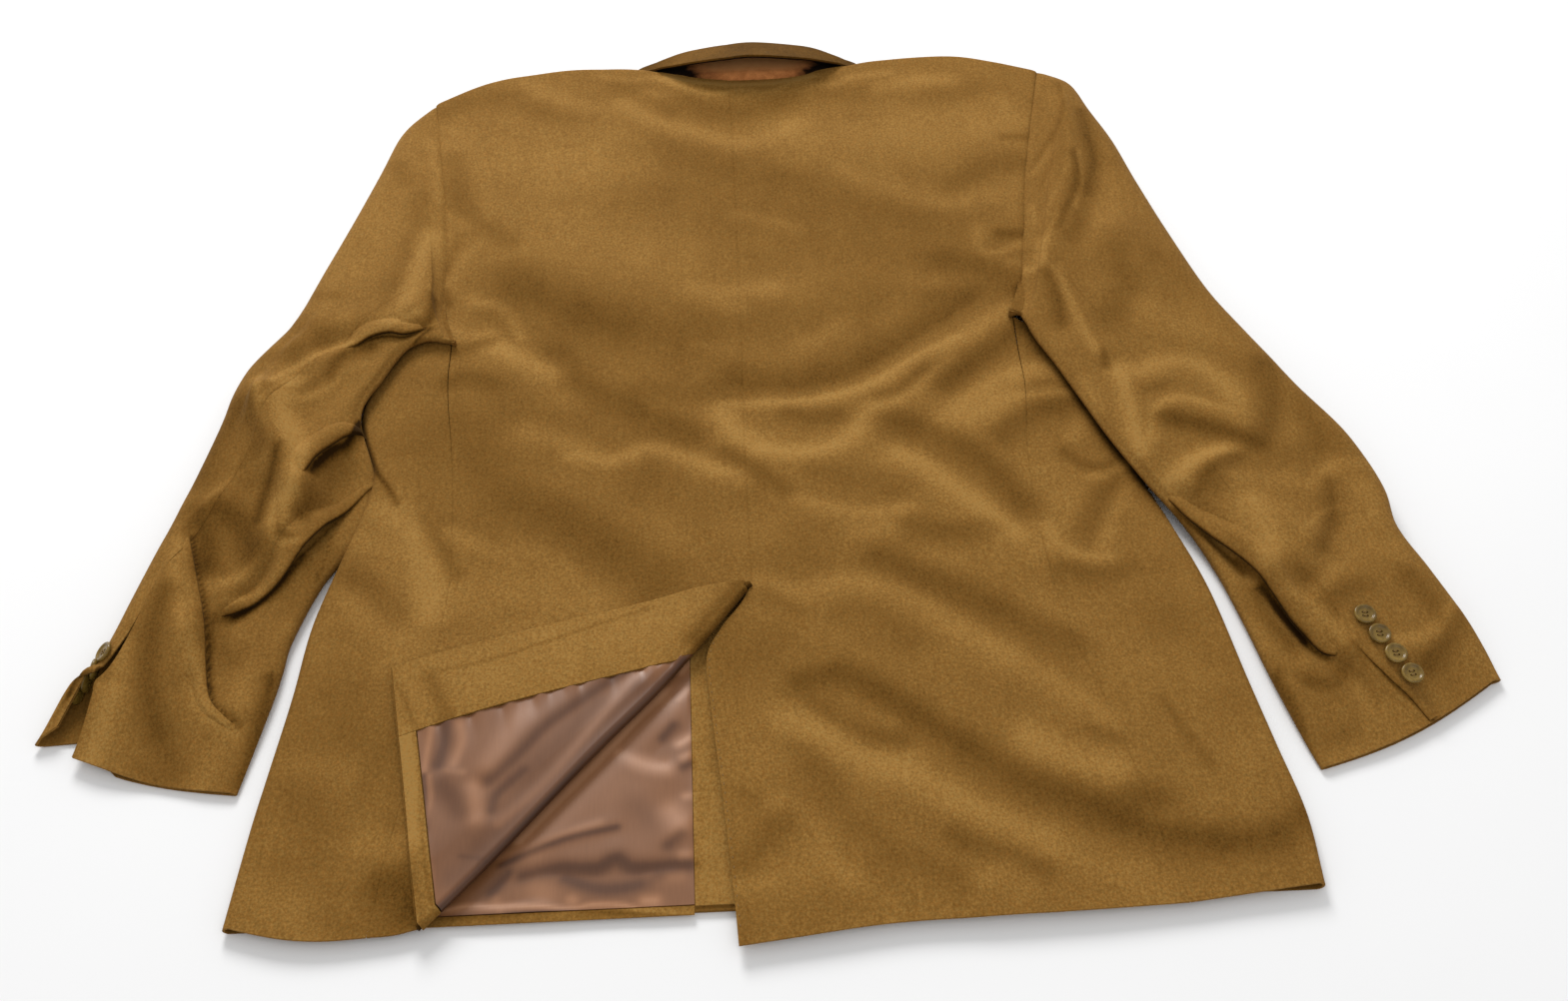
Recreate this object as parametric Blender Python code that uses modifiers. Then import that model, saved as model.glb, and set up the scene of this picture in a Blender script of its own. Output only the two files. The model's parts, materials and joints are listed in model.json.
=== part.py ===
"""Suede jacket lying face down on a flat surface, with its back up.

Frame: metres, +Z up, +Y from the hem to the collar, +X to the wearer's right.
The tables are in centimetres, with x from the centre-back seam and y from the
right hem corner; the whole jacket is moved to the middle of its own box at the end.
"""
import math

import bpy
import numpy as np
from mathutils import Vector

CM = 0.01
CLOTH = 0.22            # thickness of the suede cloth with its backing, cm
SEAM = 0.03             # clear gap between pieces at a seam
LINING = 0.10           # thickness of the satin lining
FACING = 0.14           # thickness of a facing laid on a panel
MELTON = 0.15           # thickness of the undercollar
FRONT = 0.28            # thickness of a front with its interlining
LAYER = 0.05            # clear gap between two layers that lie on each other
FOLD_RADIUS = 0.16      # inside radius of the folded vent edge
FOLD_TALL = 0.66        # least height of a flattened sleeve, both layers
EDGE_REACH = 3.0        # how far a side panel turns under at the body's edge

ROWS_VENT = 11          # panel rows below the top of the vent
ROWS_SEAM = 18          # panel rows up to the underarm
ROWS_ALL = 33           # panel rows up to the shoulder
COLS_BACK = 13          # panel columns from the centre to the side
COLS_FLAP = 9
RINGS_SLEEVE = 22
COLS_OUTER = 9          # sleeve columns from the outer edge to the back seam
COLS_INNER = 10         # sleeve columns from the back seam to the inner edge
CUFF_BOW = 0.8          # how far a cuff's edge bows beyond a straight line
HEM_BOW = 0.5           # the same for the left side panel's hem

BUTTON_RADIUS = 0.74
BUTTON_HEIGHT = 0.34

# Height of the back's outer side over the surface, by y, at five places across:
# left edge, halfway left, centre, halfway right, right edge.
BACK_HEIGHT = [
    # y,   left, mid left, centre, mid right, right
    (-2.0, 0.90, 0.95, 0.88, 0.95, 1.05),
    (6.0, 0.95, 1.00, 0.90, 1.05, 1.10),
    (14.0, 1.05, 1.10, 0.95, 1.25, 1.20),
    (22.0, 1.15, 1.25, 1.10, 1.40, 1.25),
    (30.0, 1.25, 1.45, 1.40, 1.50, 1.35),
    (40.0, 1.45, 1.70, 1.75, 1.75, 1.50),
    (50.0, 1.75, 2.05, 2.05, 2.10, 1.80),
    (60.0, 2.20, 2.40, 2.35, 2.45, 2.25),
    (70.0, 2.75, 2.85, 2.75, 2.90, 2.80),
    (78.0, 3.05, 3.20, 3.25, 3.30, 3.10),
    (84.0, 3.05, 3.30, 3.50, 3.40, 3.10),
]
HALF_WIDTH = [
    # y, half the body's width
    (-2.0, 34.0), (10.0, 33.0), (25.0, 31.0), (38.0, 27.0), (46.0, 24.0),
    (52.0, 22.8), (60.0, 23.4), (70.0, 25.0), (80.0, 27.0), (84.0, 27.5),
]

# The largest folds of the back: a soft ridge (or trough, if negative) along a line.
BACK_FOLDS = [
    # x0, y0, x1, y1, height, half-width
    (-1.8, 40.5, 7.9, 42.3, 0.45, 2.6),
    (7.9, 42.3, 19.8, 47.9, 0.50, 2.4),
    (-19.3, 41.7, -13.3, 37.9, 0.35, 2.4),
    (-13.3, 37.9, -2.5, 35.2, 0.45, 2.4),
    (-10.6, 45.1, -4.7, 39.9, -0.25, 2.2),
    (1.0, 36.2, 8.3, 30.0, -0.30, 2.6),
    (2.5, 25.0, 17.8, 13.9, 0.40, 2.8),
    (3.0, 18.5, 20.5, 6.4, -0.22, 2.6),
    (8.3, 8.4, 18.2, 5.2, 0.22, 2.4),
    (5.6, 66.4, 13.3, 60.6, -0.25, 3.0),
    (13.3, 60.6, 20.8, 61.6, -0.20, 2.6),
    (-2.8, 58.2, 2.7, 52.8, 0.30, 2.6),
    (-16.3, 76.3, -10.9, 69.9, 0.25, 3.0),
    (-5.6, 79.3, 0.6, 76.9, 0.35, 1.9),
    (0.6, 76.9, 7.3, 79.0, 0.35, 1.9),
    (-13.1, 31.9, -4.5, 28.4, -0.25, 2.4),
    (-29.0, 22.0, -25.5, 34.5, 0.30, 2.2),
    (-29.5, 12.0, -26.0, 6.0, -0.15, 2.4),
    (26.0, 30.0, 22.5, 38.0, 0.30, 2.4),
    (27.5, 20.0, 30.0, 8.0, 0.20, 2.6),
]

# Outlines of the panels, from the hem up or from the centre out: x, y.
HEM_RIGHT = [(-1.8, 0.0), (1.8, 0.4), (7.7, 1.0), (13.6, 1.1), (19.6, 1.2), (25.1, 1.4)]
HEM_LEFT = [(-20.5, 1.9), (-22.0, 1.7), (-23.6, 1.7)]
SEAM_RIGHT = [(25.1, 1.4), (23.7, 8.9), (22.3, 16.4), (20.9, 22.0), (20.3, 30.0),
              (20.5, 37.1), (21.2, 44.0), (21.2, 50.5)]
SEAM_LEFT = [(-23.6, 1.7), (-22.7, 8.0), (-21.7, 15.0), (-21.0, 21.0), (-20.6, 28.7),
             (-21.2, 38.4), (-21.9, 45.0), (-21.9, 49.3)]
ARMHOLE_RIGHT = [(21.2, 50.5), (22.3, 53.4), (23.0, 57.2), (23.7, 61.3), (24.3, 65.4),
                 (25.3, 70.6), (26.5, 76.1), (27.3, 79.9)]
ARMHOLE_LEFT = [(-21.9, 49.3), (-23.0, 52.9), (-23.1, 56.9), (-23.3, 61.1), (-23.7, 65.4),
                (-24.2, 69.9), (-24.8, 74.6), (-25.2, 78.0)]
SHOULDER_RIGHT = [(0.2, 80.2), (5.5, 80.4), (10.2, 81.2), (13.6, 81.9), (19.5, 82.3),
                  (23.5, 81.4), (27.3, 79.9)]
SHOULDER_LEFT = [(0.2, 80.2), (-3.2, 80.6), (-6.3, 81.4), (-10.3, 81.9), (-14.7, 81.9),
                 (-20.6, 80.6), (-25.2, 78.0)]
CENTRE = [(0.0, 26.1), (0.0, 37.5), (0.1, 47.4), (0.2, 58.1), (0.2, 68.6), (0.2, 80.2)]
FOLD_LINE = [(0.0, 26.1), (-3.5, 21.6), (-6.7, 17.5), (-9.9, 13.9), (-12.9, 10.4),
             (-15.8, 7.0), (-18.2, 4.3), (-20.5, 1.9)]
VENT_UNDER = [(-1.8, 0.0), (-1.9, 2.0), (-2.1, 5.0), (-2.5, 10.4), (-3.0, 16.3),
              (-3.2, 20.4), (-2.2, 22.6), (-0.8, 24.5), (0.0, 26.1)]
VENT_EDGE = [(0.0, 26.1), (-3.5, 25.7), (-6.9, 24.9), (-10.2, 24.0), (-13.5, 23.1),
             (-16.8, 22.2), (-20.0, 21.2), (-23.7, 19.9)]
EDGE_RIGHT = [(33.5, 2.2), (33.6, 7.0), (32.9, 12.0), (32.2, 17.0), (31.2, 24.5),
              (29.7, 30.3), (28.6, 33.9), (27.5, 38.3), (26.3, 42.3), (25.0, 46.0),
              (23.9, 49.2)]
EDGE_LEFT = [(-32.2, 2.7), (-31.5, 9.3), (-31.0, 13.0), (-30.2, 18.8), (-29.6, 24.5),
             (-28.3, 30.0), (-27.0, 35.0), (-27.4, 38.8), (-27.3, 42.4), (-26.0, 45.6),
             (-24.6, 48.0)]

# The fronts, seen from the back: inner line from the hem corner up to the neck.
FRONT_EDGE_RIGHT = [(3.0, 3.0), (0.0, 8.0), (0.0, 34.0), (3.5, 52.0), (8.0, 70.0),
                    (9.6, 79.6)]
FRONT_EDGE_LEFT = [(0.4, 2.6), (4.4, 8.0), (4.4, 34.0), (0.3, 52.0), (-4.2, 70.0),
                   (-5.8, 79.8)]

# One row for each section of a sleeve, from the armhole to the cuff.
# ox, oy: outer end; ix, iy: inner end; top: height of the upper layer; tuck: where
# the deep fold runs, as a share from the outer end; deep: its depth; low: height
# of the cloth beyond it; seam: where the back seam runs; lift: height of the inner
# end's under side, where the sleeve lies on the side panel.
SLEEVE_RIGHT = [
    # ox,  oy,   ix,   iy,   top,  tuck, deep, low,  seam,  lift
    (27.5, 80.4, 21.6, 50.4, 2.90, 0.95, 0.00, 2.80, 0.760, 2.10),
    (30.1, 78.9, 21.7, 50.0, 3.20, 0.95, 0.00, 2.80, 0.765, 2.10),
    (31.5, 75.2, 21.8, 49.6, 3.40, 0.95, 0.00, 2.80, 0.750, 2.10),
    (32.8, 71.0, 22.0, 49.1, 3.40, 0.95, 0.00, 2.80, 0.740, 2.10),
    (33.9, 65.5, 22.2, 48.4, 3.30, 0.95, 0.00, 2.80, 0.700, 2.05),
    (35.2, 59.5, 22.6, 47.3, 3.20, 0.95, 0.00, 2.80, 0.670, 1.95),
    (36.9, 53.0, 23.6, 45.0, 3.10, 0.95, 0.00, 2.75, 0.640, 1.85),
    (38.9, 48.0, 24.9, 41.4, 3.00, 0.95, 0.00, 2.70, 0.640, 1.80),
    (41.5, 42.1, 26.4, 37.4, 2.90, 0.95, 0.00, 2.60, 0.690, 1.70),
    (44.0, 37.3, 28.3, 33.4, 2.75, 0.95, 0.10, 2.30, 0.730, 1.40),
    (45.3, 32.3, 30.4, 30.0, 2.55, 0.93, 0.70, 1.70, 0.730, 0.60),
    (45.3, 28.6, 31.9, 26.4, 2.35, 0.90, 1.10, 1.30, 0.670, 0.00),
    (46.5, 24.9, 32.9, 22.0, 2.10, 0.82, 1.20, 1.15, 0.630, 0.00),
    (47.7, 21.4, 33.8, 17.0, 1.80, 0.71, 1.00, 1.10, 0.600, 0.00),
    (48.5, 18.6, 34.7, 13.0, 1.40, 0.62, 0.40, 1.00, 0.530, 0.00),
    (48.9, 16.4, 35.4, 10.4, 1.10, 0.60, 0.00, 0.90, 0.437, 0.00),
]
SLEEVE_LEFT = [
    # ox,   oy,   ix,    iy,   top,  tuck, deep, low,  seam,  lift
    (-25.4, 78.5, -22.3, 49.2, 2.80, 0.93, 0.00, 2.75, 0.760, 2.05),
    (-27.8, 75.5, -22.4, 49.0, 3.10, 0.93, 0.00, 2.75, 0.750, 2.05),
    (-29.4, 70.3, -22.6, 48.8, 3.20, 0.93, 0.00, 2.75, 0.730, 2.05),
    (-30.9, 64.5, -22.9, 48.5, 3.20, 0.93, 0.05, 2.75, 0.690, 2.00),
    (-32.5, 58.8, -23.3, 48.0, 3.10, 0.93, 0.10, 2.80, 0.640, 2.00),
    (-34.4, 52.2, -24.1, 46.9, 3.10, 0.93, 0.10, 2.80, 0.570, 1.90),
    (-37.1, 47.4, -25.6, 44.1, 3.20, 0.93, 0.00, 2.80, 0.480, 1.80),
    (-38.1, 42.4, -27.2, 40.4, 3.10, 0.93, 0.10, 2.50, 0.370, 1.60),
    (-39.2, 37.4, -27.5, 36.2, 2.85, 0.80, 0.70, 1.80, 0.270, 0.60),
    (-40.5, 32.2, -28.1, 31.4, 2.60, 0.76, 1.00, 1.50, 0.200, 0.00),
    (-41.8, 27.0, -29.2, 27.6, 2.40, 0.66, 1.20, 1.20, 0.160, 0.00),
    (-42.6, 23.9, -30.3, 23.4, 2.20, 0.58, 0.80, 1.10, 0.150, 0.00),
    (-43.4, 21.6, -30.9, 21.0, 2.00, 0.57, 0.50, 1.08, 0.170, 0.00),
    (-44.8, 19.9, -31.6, 18.4, 1.80, 0.56, 0.20, 1.00, 0.170, 0.00),
    (-46.2, 16.4, -32.8, 12.1, 1.40, 0.56, 0.00, 0.90, 0.190, 0.00),
]
ARM_FOLDS_RIGHT = [
    # x0, y0, x1, y1, height, half-width
    (29.0, 77.0, 27.8, 66.5, 0.35, 1.5),
    (33.5, 33.5, 38.0, 27.0, 0.35, 1.6),
    (30.5, 58.0, 33.0, 46.0, 0.25, 2.0),
    (40.5, 37.0, 41.5, 27.0, -0.25, 1.8),
]
ARM_FOLDS_LEFT = [
    (-25.2, 50.6, -31.0, 49.0, -0.70, 1.4),
    (-25.6, 52.0, -32.9, 49.4, 0.35, 1.6),
    (-32.9, 48.1, -35.2, 43.5, 0.60, 1.5),
    (-34.8, 43.5, -31.6, 35.2, 0.65, 1.4),
    (-31.6, 35.2, -32.4, 29.0, 0.60, 1.3),
    (-27.5, 47.0, -31.5, 42.0, -0.35, 1.4),
    (-34.6, 35.0, -36.4, 26.0, -0.45, 1.7),
    (-39.6, 31.0, -37.2, 24.0, 0.45, 1.4),
    (-37.2, 24.0, -34.2, 17.6, 0.35, 1.4),
    (-36.9, 27.0, -35.2, 19.6, -0.30, 1.0),
]

# The collar: x along the neck; off: how far its seam is from the back's edge; z of
# the seam; stand and fall: their lengths; rise: slope of the fall, in degrees.
COLLAR = [
    # x,   off,  z,    stand, fall, rise
    (-7.8, 0.60, 0.80, 0.4, 0.4, 0.0),
    (-7.4, 0.55, 1.45, 0.5, 0.5, 0.0),
    (-6.6, 0.45, 2.10, 0.6, 0.7, 4.0),
    (-5.2, 0.20, 2.90, 1.1, 1.3, 9.0),
    (-3.0, 0.05, 3.40, 2.2, 3.0, 17.0),
    (0.6, 0.05, 3.60, 3.1, 4.3, 21.0),
    (3.4, 0.05, 3.60, 3.1, 4.3, 21.0),
    (7.0, 0.05, 3.40, 2.3, 3.1, 17.0),
    (9.3, 0.20, 2.90, 1.1, 1.3, 9.0),
    (10.7, 0.45, 2.10, 0.6, 0.7, 4.0),
    (11.4, 0.55, 1.45, 0.5, 0.5, 0.0),
    (11.8, 0.60, 0.80, 0.4, 0.4, 0.0),
]
ROLL_RADIUS = 0.22      # inside radius of the collar's roll

CUFF_BUTTONS_RIGHT = [
    # x, y
    (40.6, 20.8), (41.2, 19.3), (41.9, 17.8), (42.6, 16.3),
]
CUFF_BUTTONS_LEFT = [
    # share along the sleeve, turn up from level in degrees, distance out
    (0.893, 50.0, 0.12), (0.912, 30.0, 0.205), (0.930, 24.0, 0.10), (0.948, 20.0, 0.08),
]

SUEDE = ("suede", (0.300, 0.155, 0.045), 0.85, 0.0)
SUEDE_UNDER = ("suede_side", (0.285, 0.147, 0.043), 0.85, 0.0)
FELT = ("melton", (0.211, 0.086, 0.034), 0.95, 0.0)
SATIN = ("satin", (0.281, 0.145, 0.081), 0.35, 0.0)
HORN = ("button_resin", (0.205, 0.113, 0.034), 0.30, 0.0)


def through(table):
    """A smooth curve through the rows of a table, as a function of its share of length."""
    rows = np.array(table, float)
    ends = np.vstack([2 * rows[0] - rows[1], rows, 2 * rows[-1] - rows[-2]])
    dense = []
    for i in range(len(rows) - 1):
        a, b, c, d = ends[i:i + 4]
        for t in np.linspace(0, 1, 24, endpoint=False):
            dense.append(0.5 * (2 * b + (c - a) * t + (2 * a - 5 * b + 4 * c - d) * t * t
                                + (3 * b - a - 3 * c + d) * t ** 3))
    dense = np.array(dense + [rows[-1]])
    steps = np.linalg.norm(np.diff(dense[:, :2], axis=0), axis=1)
    length = np.concatenate([[0], np.cumsum(steps)])
    share = length / length[-1]
    return lambda s: np.stack([np.interp(s, share, dense[:, k])
                               for k in range(dense.shape[1])], axis=-1)


def smooth_rows(table, y):
    """The columns of a table at each y, with smooth steps between its rows."""
    rows = np.array(table, float)
    y = np.clip(y, rows[0, 0], rows[-1, 0])
    i = np.clip(np.searchsorted(rows[:, 0], y) - 1, 0, len(rows) - 2)
    a, b = rows[i], rows[i + 1]
    before, after = rows[np.maximum(i - 1, 0)], rows[np.minimum(i + 2, len(rows) - 1)]
    t = ((y - a[..., 0]) / (b[..., 0] - a[..., 0]))[..., None]
    return 0.5 * (2 * a + (b - before) * t + (2 * before - 5 * a + 4 * b - after) * t ** 2
                  + (3 * a - before - 3 * b + after) * t ** 3)[..., 1:]


def folds(table, x, y):
    """Height that the folds of a table add at x, y."""
    high = np.zeros(np.broadcast(x, y).shape)
    for x0, y0, x1, y1, height, width in table:
        dx, dy = x1 - x0, y1 - y0
        t = np.clip(((x - x0) * dx + (y - y0) * dy) / (dx * dx + dy * dy), 0, 1)
        away = np.hypot(x - x0 - t * dx, y - y0 - t * dy)
        high = high + height * np.exp(-(away / width) ** 2)
    return high


def back_height(x, y):
    """Height of the back's outer side over the surface."""
    x, y = np.asarray(x, float), np.asarray(y, float)
    across = np.clip(x / smooth_rows(HALF_WIDTH, y)[..., 0], -1, 1) * 2 + 2
    columns = smooth_rows(BACK_HEIGHT, y)
    i = np.clip(across.astype(int), 0, 3)
    t = across - i
    t = t * t * (3 - 2 * t)
    low = np.take_along_axis(columns, i[..., None], -1)[..., 0]
    high = np.take_along_axis(columns, i[..., None] + 1, -1)[..., 0]
    return low + (high - low) * t + folds(BACK_FOLDS, x, y)


def sideways(line, amount):
    """A line of plan points moved to its left by an amount."""
    along = np.gradient(line, axis=0)
    along /= np.linalg.norm(along, axis=1, keepdims=True)
    return line + amount * np.stack([-along[:, 1], along[:, 0]], axis=1)


def patch(left, right, bottom, top, shares=None):
    """Plan points of a panel, row by row, from its four sides."""
    v = np.linspace(0, 1, len(left))[:, None, None]
    u = np.linspace(0, 1, len(bottom)) if shares is None else np.ravel(shares)
    u = u[None, :, None]
    sides = (1 - u) * left[:, None] + u * right[:, None]
    ends = (1 - v) * bottom[None] + v * top[None]
    corners = ((1 - u) * (1 - v) * left[0] + u * (1 - v) * right[0]
               + (1 - u) * v * left[-1] + u * v * right[-1])
    return sides + ends - corners


def material(spec):
    name, colour, rough, metal = spec
    found = bpy.data.materials.get(name)
    if found:
        return found
    made = bpy.data.materials.new(name)
    made.use_nodes = True
    shader = made.node_tree.nodes["Principled BSDF"]
    shader.inputs["Base Color"].default_value = (*colour, 1.0)
    shader.inputs["Roughness"].default_value = rough
    shader.inputs["Metallic"].default_value = metal
    made.diffuse_color = (*colour, 1.0)
    return made


def piece(name, points, faces, spec):
    mesh = bpy.data.meshes.new(name)
    mesh.from_pydata([tuple(float(c) * CM for c in p) for p in points], [], faces)
    mesh.validate()
    mesh.materials.append(material(spec))
    made = bpy.data.objects.new(name, mesh)
    jacket.objects.link(made)
    return made


def grid_faces(rows, cols, start=0, flip=False):
    faces = []
    for i in range(rows - 1):
        for j in range(cols - 1):
            a = start + i * cols + j
            face = (a, a + 1, a + cols + 1, a + cols)
            faces.append(face[::-1] if flip else face)
    return faces


def cloth(name, points, spec, thick=CLOTH, flip=False, offset=-1.0, extra=None):
    """A wall of cloth under a grid of points on its outer side."""
    rows, cols = points.shape[:2]
    flat = points.reshape(-1, 3)
    faces = grid_faces(rows, cols, flip=flip)
    if extra is not None:
        flat, faces = extra(flat, faces)
    made = piece(name, flat, faces, spec)
    wall = made.modifiers.new("cloth", "SOLIDIFY")
    wall.thickness = thick * CM
    wall.offset = offset
    wall.use_even_offset = False
    return made


def slab(name, top, bottom, spec):
    """A closed piece between two grids of points, one over the other."""
    rows, cols = top.shape[:2]
    count = rows * cols
    faces = grid_faces(rows, cols) + grid_faces(rows, cols, count, flip=True)
    rim = ([j for j in range(cols)] + [i * cols + cols - 1 for i in range(1, rows)]
           + [(rows - 1) * cols + j for j in range(cols - 2, -1, -1)]
           + [i * cols for i in range(rows - 2, 0, -1)])
    for a, b in zip(rim, rim[1:] + rim[:1]):
        faces.append((b, a, a + count, b + count))
    return piece(name, np.concatenate([top.reshape(-1, 3), bottom.reshape(-1, 3)]),
                 faces, spec)


def lift(plan, height):
    return np.concatenate([plan, np.asarray(height)[..., None]], axis=-1)


# ---- clear the scene --------------------------------------------------------
for old in list(bpy.data.objects):
    bpy.data.objects.remove(old, do_unlink=True)
jacket = bpy.data.collections.new("suede_jacket")
bpy.context.scene.collection.children.link(jacket)

# ---- shared stations along the seams ----------------------------------------
SEAM_SHARES = np.linspace(0, 1, ROWS_SEAM + 1)
ARM_SHARES = np.linspace(0, 1, ROWS_ALL - ROWS_SEAM + 1)


def seam_line(seam, armhole):
    return np.vstack([through(seam)(SEAM_SHARES), through(armhole)(ARM_SHARES)[1:]])


side_line = {
    "right": seam_line(SEAM_RIGHT, ARMHOLE_RIGHT),
    "left": seam_line(SEAM_LEFT, ARMHOLE_LEFT),
}
centre_line = through(CENTRE)(np.linspace(0, 1, ROWS_ALL - ROWS_VENT + 1))
# Rows down the vent, closer near its top, where the fold starts.
vent_shares = np.concatenate([[0.0, 0.03, 0.09], np.linspace(0.18, 1, ROWS_VENT - 2)])
fold_line = through(FOLD_LINE)(vent_shares)
# The line is where the fold shows, so the bend's middle lies inside it.
fold_inset = (FOLD_RADIUS + CLOTH) * np.clip(vent_shares / vent_shares[1], 0, 1)
fold_line = fold_line + (sideways(fold_line, -1.0) - fold_line) * fold_inset[:, None]
under_line = through(VENT_UNDER)(1 - vent_shares[::-1])


# ---- back panels -------------------------------------------------------------
def rounded_top(points, reach=1.6, drop=1.7):
    """Turns the last rows of a back panel down over the shoulder, off the neck."""
    extra = []
    last, before = points[-1], points[-2]
    out = last[:, :2] - before[:, :2]
    out /= np.linalg.norm(out, axis=1, keepdims=True)
    for turn in (35, 70, 95):
        a = math.radians(turn)
        row = last.copy()
        row[:, :2] += out * (0.75 * math.sin(a))
        row[:, 2] -= 0.9 * (1 - math.cos(a))
        extra.append(row)
    return extra


def neck_share(x):
    """1 along the shoulder, 0 along the neck, for the turned-down rows."""
    return np.clip((np.abs(x - 2.2) - 8.0) / 1.6, 0, 1)


def back_panel(side):
    right = side == "right"
    lower = under_line if right else fold_line[::-1]
    inner = np.vstack([lower, centre_line[1:]])
    inner = sideways(inner, -SEAM / 2 if right else SEAM / 2)
    outer = sideways(side_line[side], SEAM / 2 if right else -SEAM / 2)
    hem = through(HEM_RIGHT if right else HEM_LEFT)(np.linspace(0, 1, COLS_BACK))
    top = through(SHOULDER_RIGHT if right else SHOULDER_LEFT)(np.linspace(0, 1, COLS_BACK))
    for line in (hem, top):
        end = 0 if line is hem else -1
        line += np.linspace(1, 0, COLS_BACK)[:, None] * (inner[end] - line[0])
        line += np.linspace(0, 1, COLS_BACK)[:, None] * (outer[end] - line[-1])
    plan = patch(inner, outer, hem, top)
    points = lift(plan, back_height(plan[..., 0], plan[..., 1]))
    turned = rounded_top(points)
    share = neck_share(points[-1][:, 0])[:, None]
    rows = [points]
    for k, row in enumerate(turned):
        flat = points[-1] + np.array([0, 0.06 * (k + 1), 0.0])
        rows.append((flat + (row - flat) * share)[None])
    return np.concatenate(rows)


def fold_frame():
    """At each station of the fold line: outward direction across the fold."""
    line = fold_line
    along = np.gradient(line, axis=0)
    along /= np.linalg.norm(along, axis=1, keepdims=True)
    return np.stack([-along[:, 1], along[:, 0]], axis=1)


def flap_point(t, u, out):
    """A point of the folded vent corner.

    t runs from the top of the vent to the hem; u from the fold, 0, to the vent
    edge, 1, and below 0 round the fold; out is the distance from its outer cloth
    side, which faces down.
    """
    t, u, out = np.broadcast_arrays(np.asarray(t, float), u, out)
    base = np.stack([np.interp(t, vent_shares, fold_line[:, k]) for k in (0, 1)], -1)
    across = np.stack([np.interp(t, vent_shares, fold_across[:, k]) for k in (0, 1)], -1)
    edge = flap_edge(t)
    tight = np.clip(0.6 + 2.5 * t, 0, 1)
    flat = base + np.clip(u, 0, 1)[..., None] * (edge - base)
    turn = np.clip(-u, 0, 1) * math.pi
    inside = FOLD_RADIUS * tight
    radius = inside + out
    flat = flat + across * (radius * np.sin(turn))[..., None]
    middle = back_height(flat[..., 0], flat[..., 1]) + inside
    at_fold = back_height(base[..., 0], base[..., 1]) + inside
    near = np.clip(np.where(u <= 0, 1.0, 1 - u * 6), 0, 1)
    middle = near * at_fold + (1 - near) * middle
    corner = 0.25 * np.clip(u, 0, 1) ** 2 * t ** 2
    return np.concatenate([flat, (middle + corner + radius * np.cos(turn))[..., None]], -1)


fold_across = fold_frame()
flap_edge = through(VENT_EDGE)


def back_left():
    """The left back, with the corner beside the vent folded back over it."""
    points = back_panel("left")
    rows, cols = points.shape[:2]
    turns = np.array([-0.8, -0.6, -0.4, -0.2, 0.0])
    us = np.concatenate([turns, np.linspace(0, 1, COLS_FLAP)[1:]])
    flap = flap_point(vent_shares[:, None], us[None, :], 0.0)

    def join(flat, faces):
        flat = list(map(tuple, flat))
        # The panel's inner column, from the hem up to the top of the vent.
        inner = [i * cols for i in range(ROWS_VENT + 1)][::-1]
        index = []
        for i in range(1, ROWS_VENT + 1):
            row = [inner[i]]
            for j in range(len(us)):
                row.append(len(flat))
                flat.append(tuple(flap[i, j]))
            index.append(row)
        for low, high in zip(index, index[1:]):
            for j in range(len(low) - 1):
                faces.append((low[j], high[j], high[j + 1], low[j + 1]))
        return np.array(flat), faces

    return cloth("back_left", points, SUEDE, flip=True, extra=join)


cloth("back_right", back_panel("right"), SUEDE)
back_left()
# The top edge of both backs, from left to right: x, y, z.
neck_edge = np.vstack([back_panel("left")[-1][::-1], back_panel("right")[-1]])


# ---- side panels -------------------------------------------------------------
def side_panel(side):
    right = side == "right"
    sign = 1 if right else -1
    seam = sideways(side_line[side], -sign * SEAM / 2)[:ROWS_SEAM + 1]
    seam[:, 0] += sign * 0.07 * np.clip(SEAM_SHARES * 4 - 3, 0, 1)
    edge = through(EDGE_RIGHT if right else EDGE_LEFT)(SEAM_SHARES)
    top = back_height(edge[:, 0], edge[:, 1]) * 0.86
    radius = top / 2
    centre = edge - np.stack([sign * radius, 0 * radius], 1)
    rows = []
    for k in np.linspace(0, 1, 6)[:-1]:
        plan = seam + (centre - seam) * k
        high = back_height(plan[:, 0], plan[:, 1])
        if not right:
            plan[:, 1] -= HEM_BOW * math.sin(math.pi * k) * np.clip(1 - SEAM_SHARES * 5, 0, 1)
        rows.append(lift(plan, high + (top - high) * k ** 2))
    for turn in (0, 36, 72, 108, 144, 180):
        a = math.radians(turn)
        plan = centre + np.stack([sign * radius * math.sin(a), 0 * radius], 1)
        rows.append(lift(plan, radius + radius * math.cos(a)))
    inside = EDGE_REACH - radius
    inside = np.minimum(inside, np.abs(centre[:, 0] - seam[:, 0]) + 3.0)
    for k in (0.5, 1.0):
        plan = centre - np.stack([sign * inside * k, 0 * inside], 1)
        rows.append(lift(plan, 0 * inside))
    points = np.stack(rows, 1)
    cloth(f"side_{side}", points, SUEDE_UNDER, flip=not right)
    return points[:, -1, :2]


under_end = {side: side_panel(side) for side in ("right", "left")}


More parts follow.
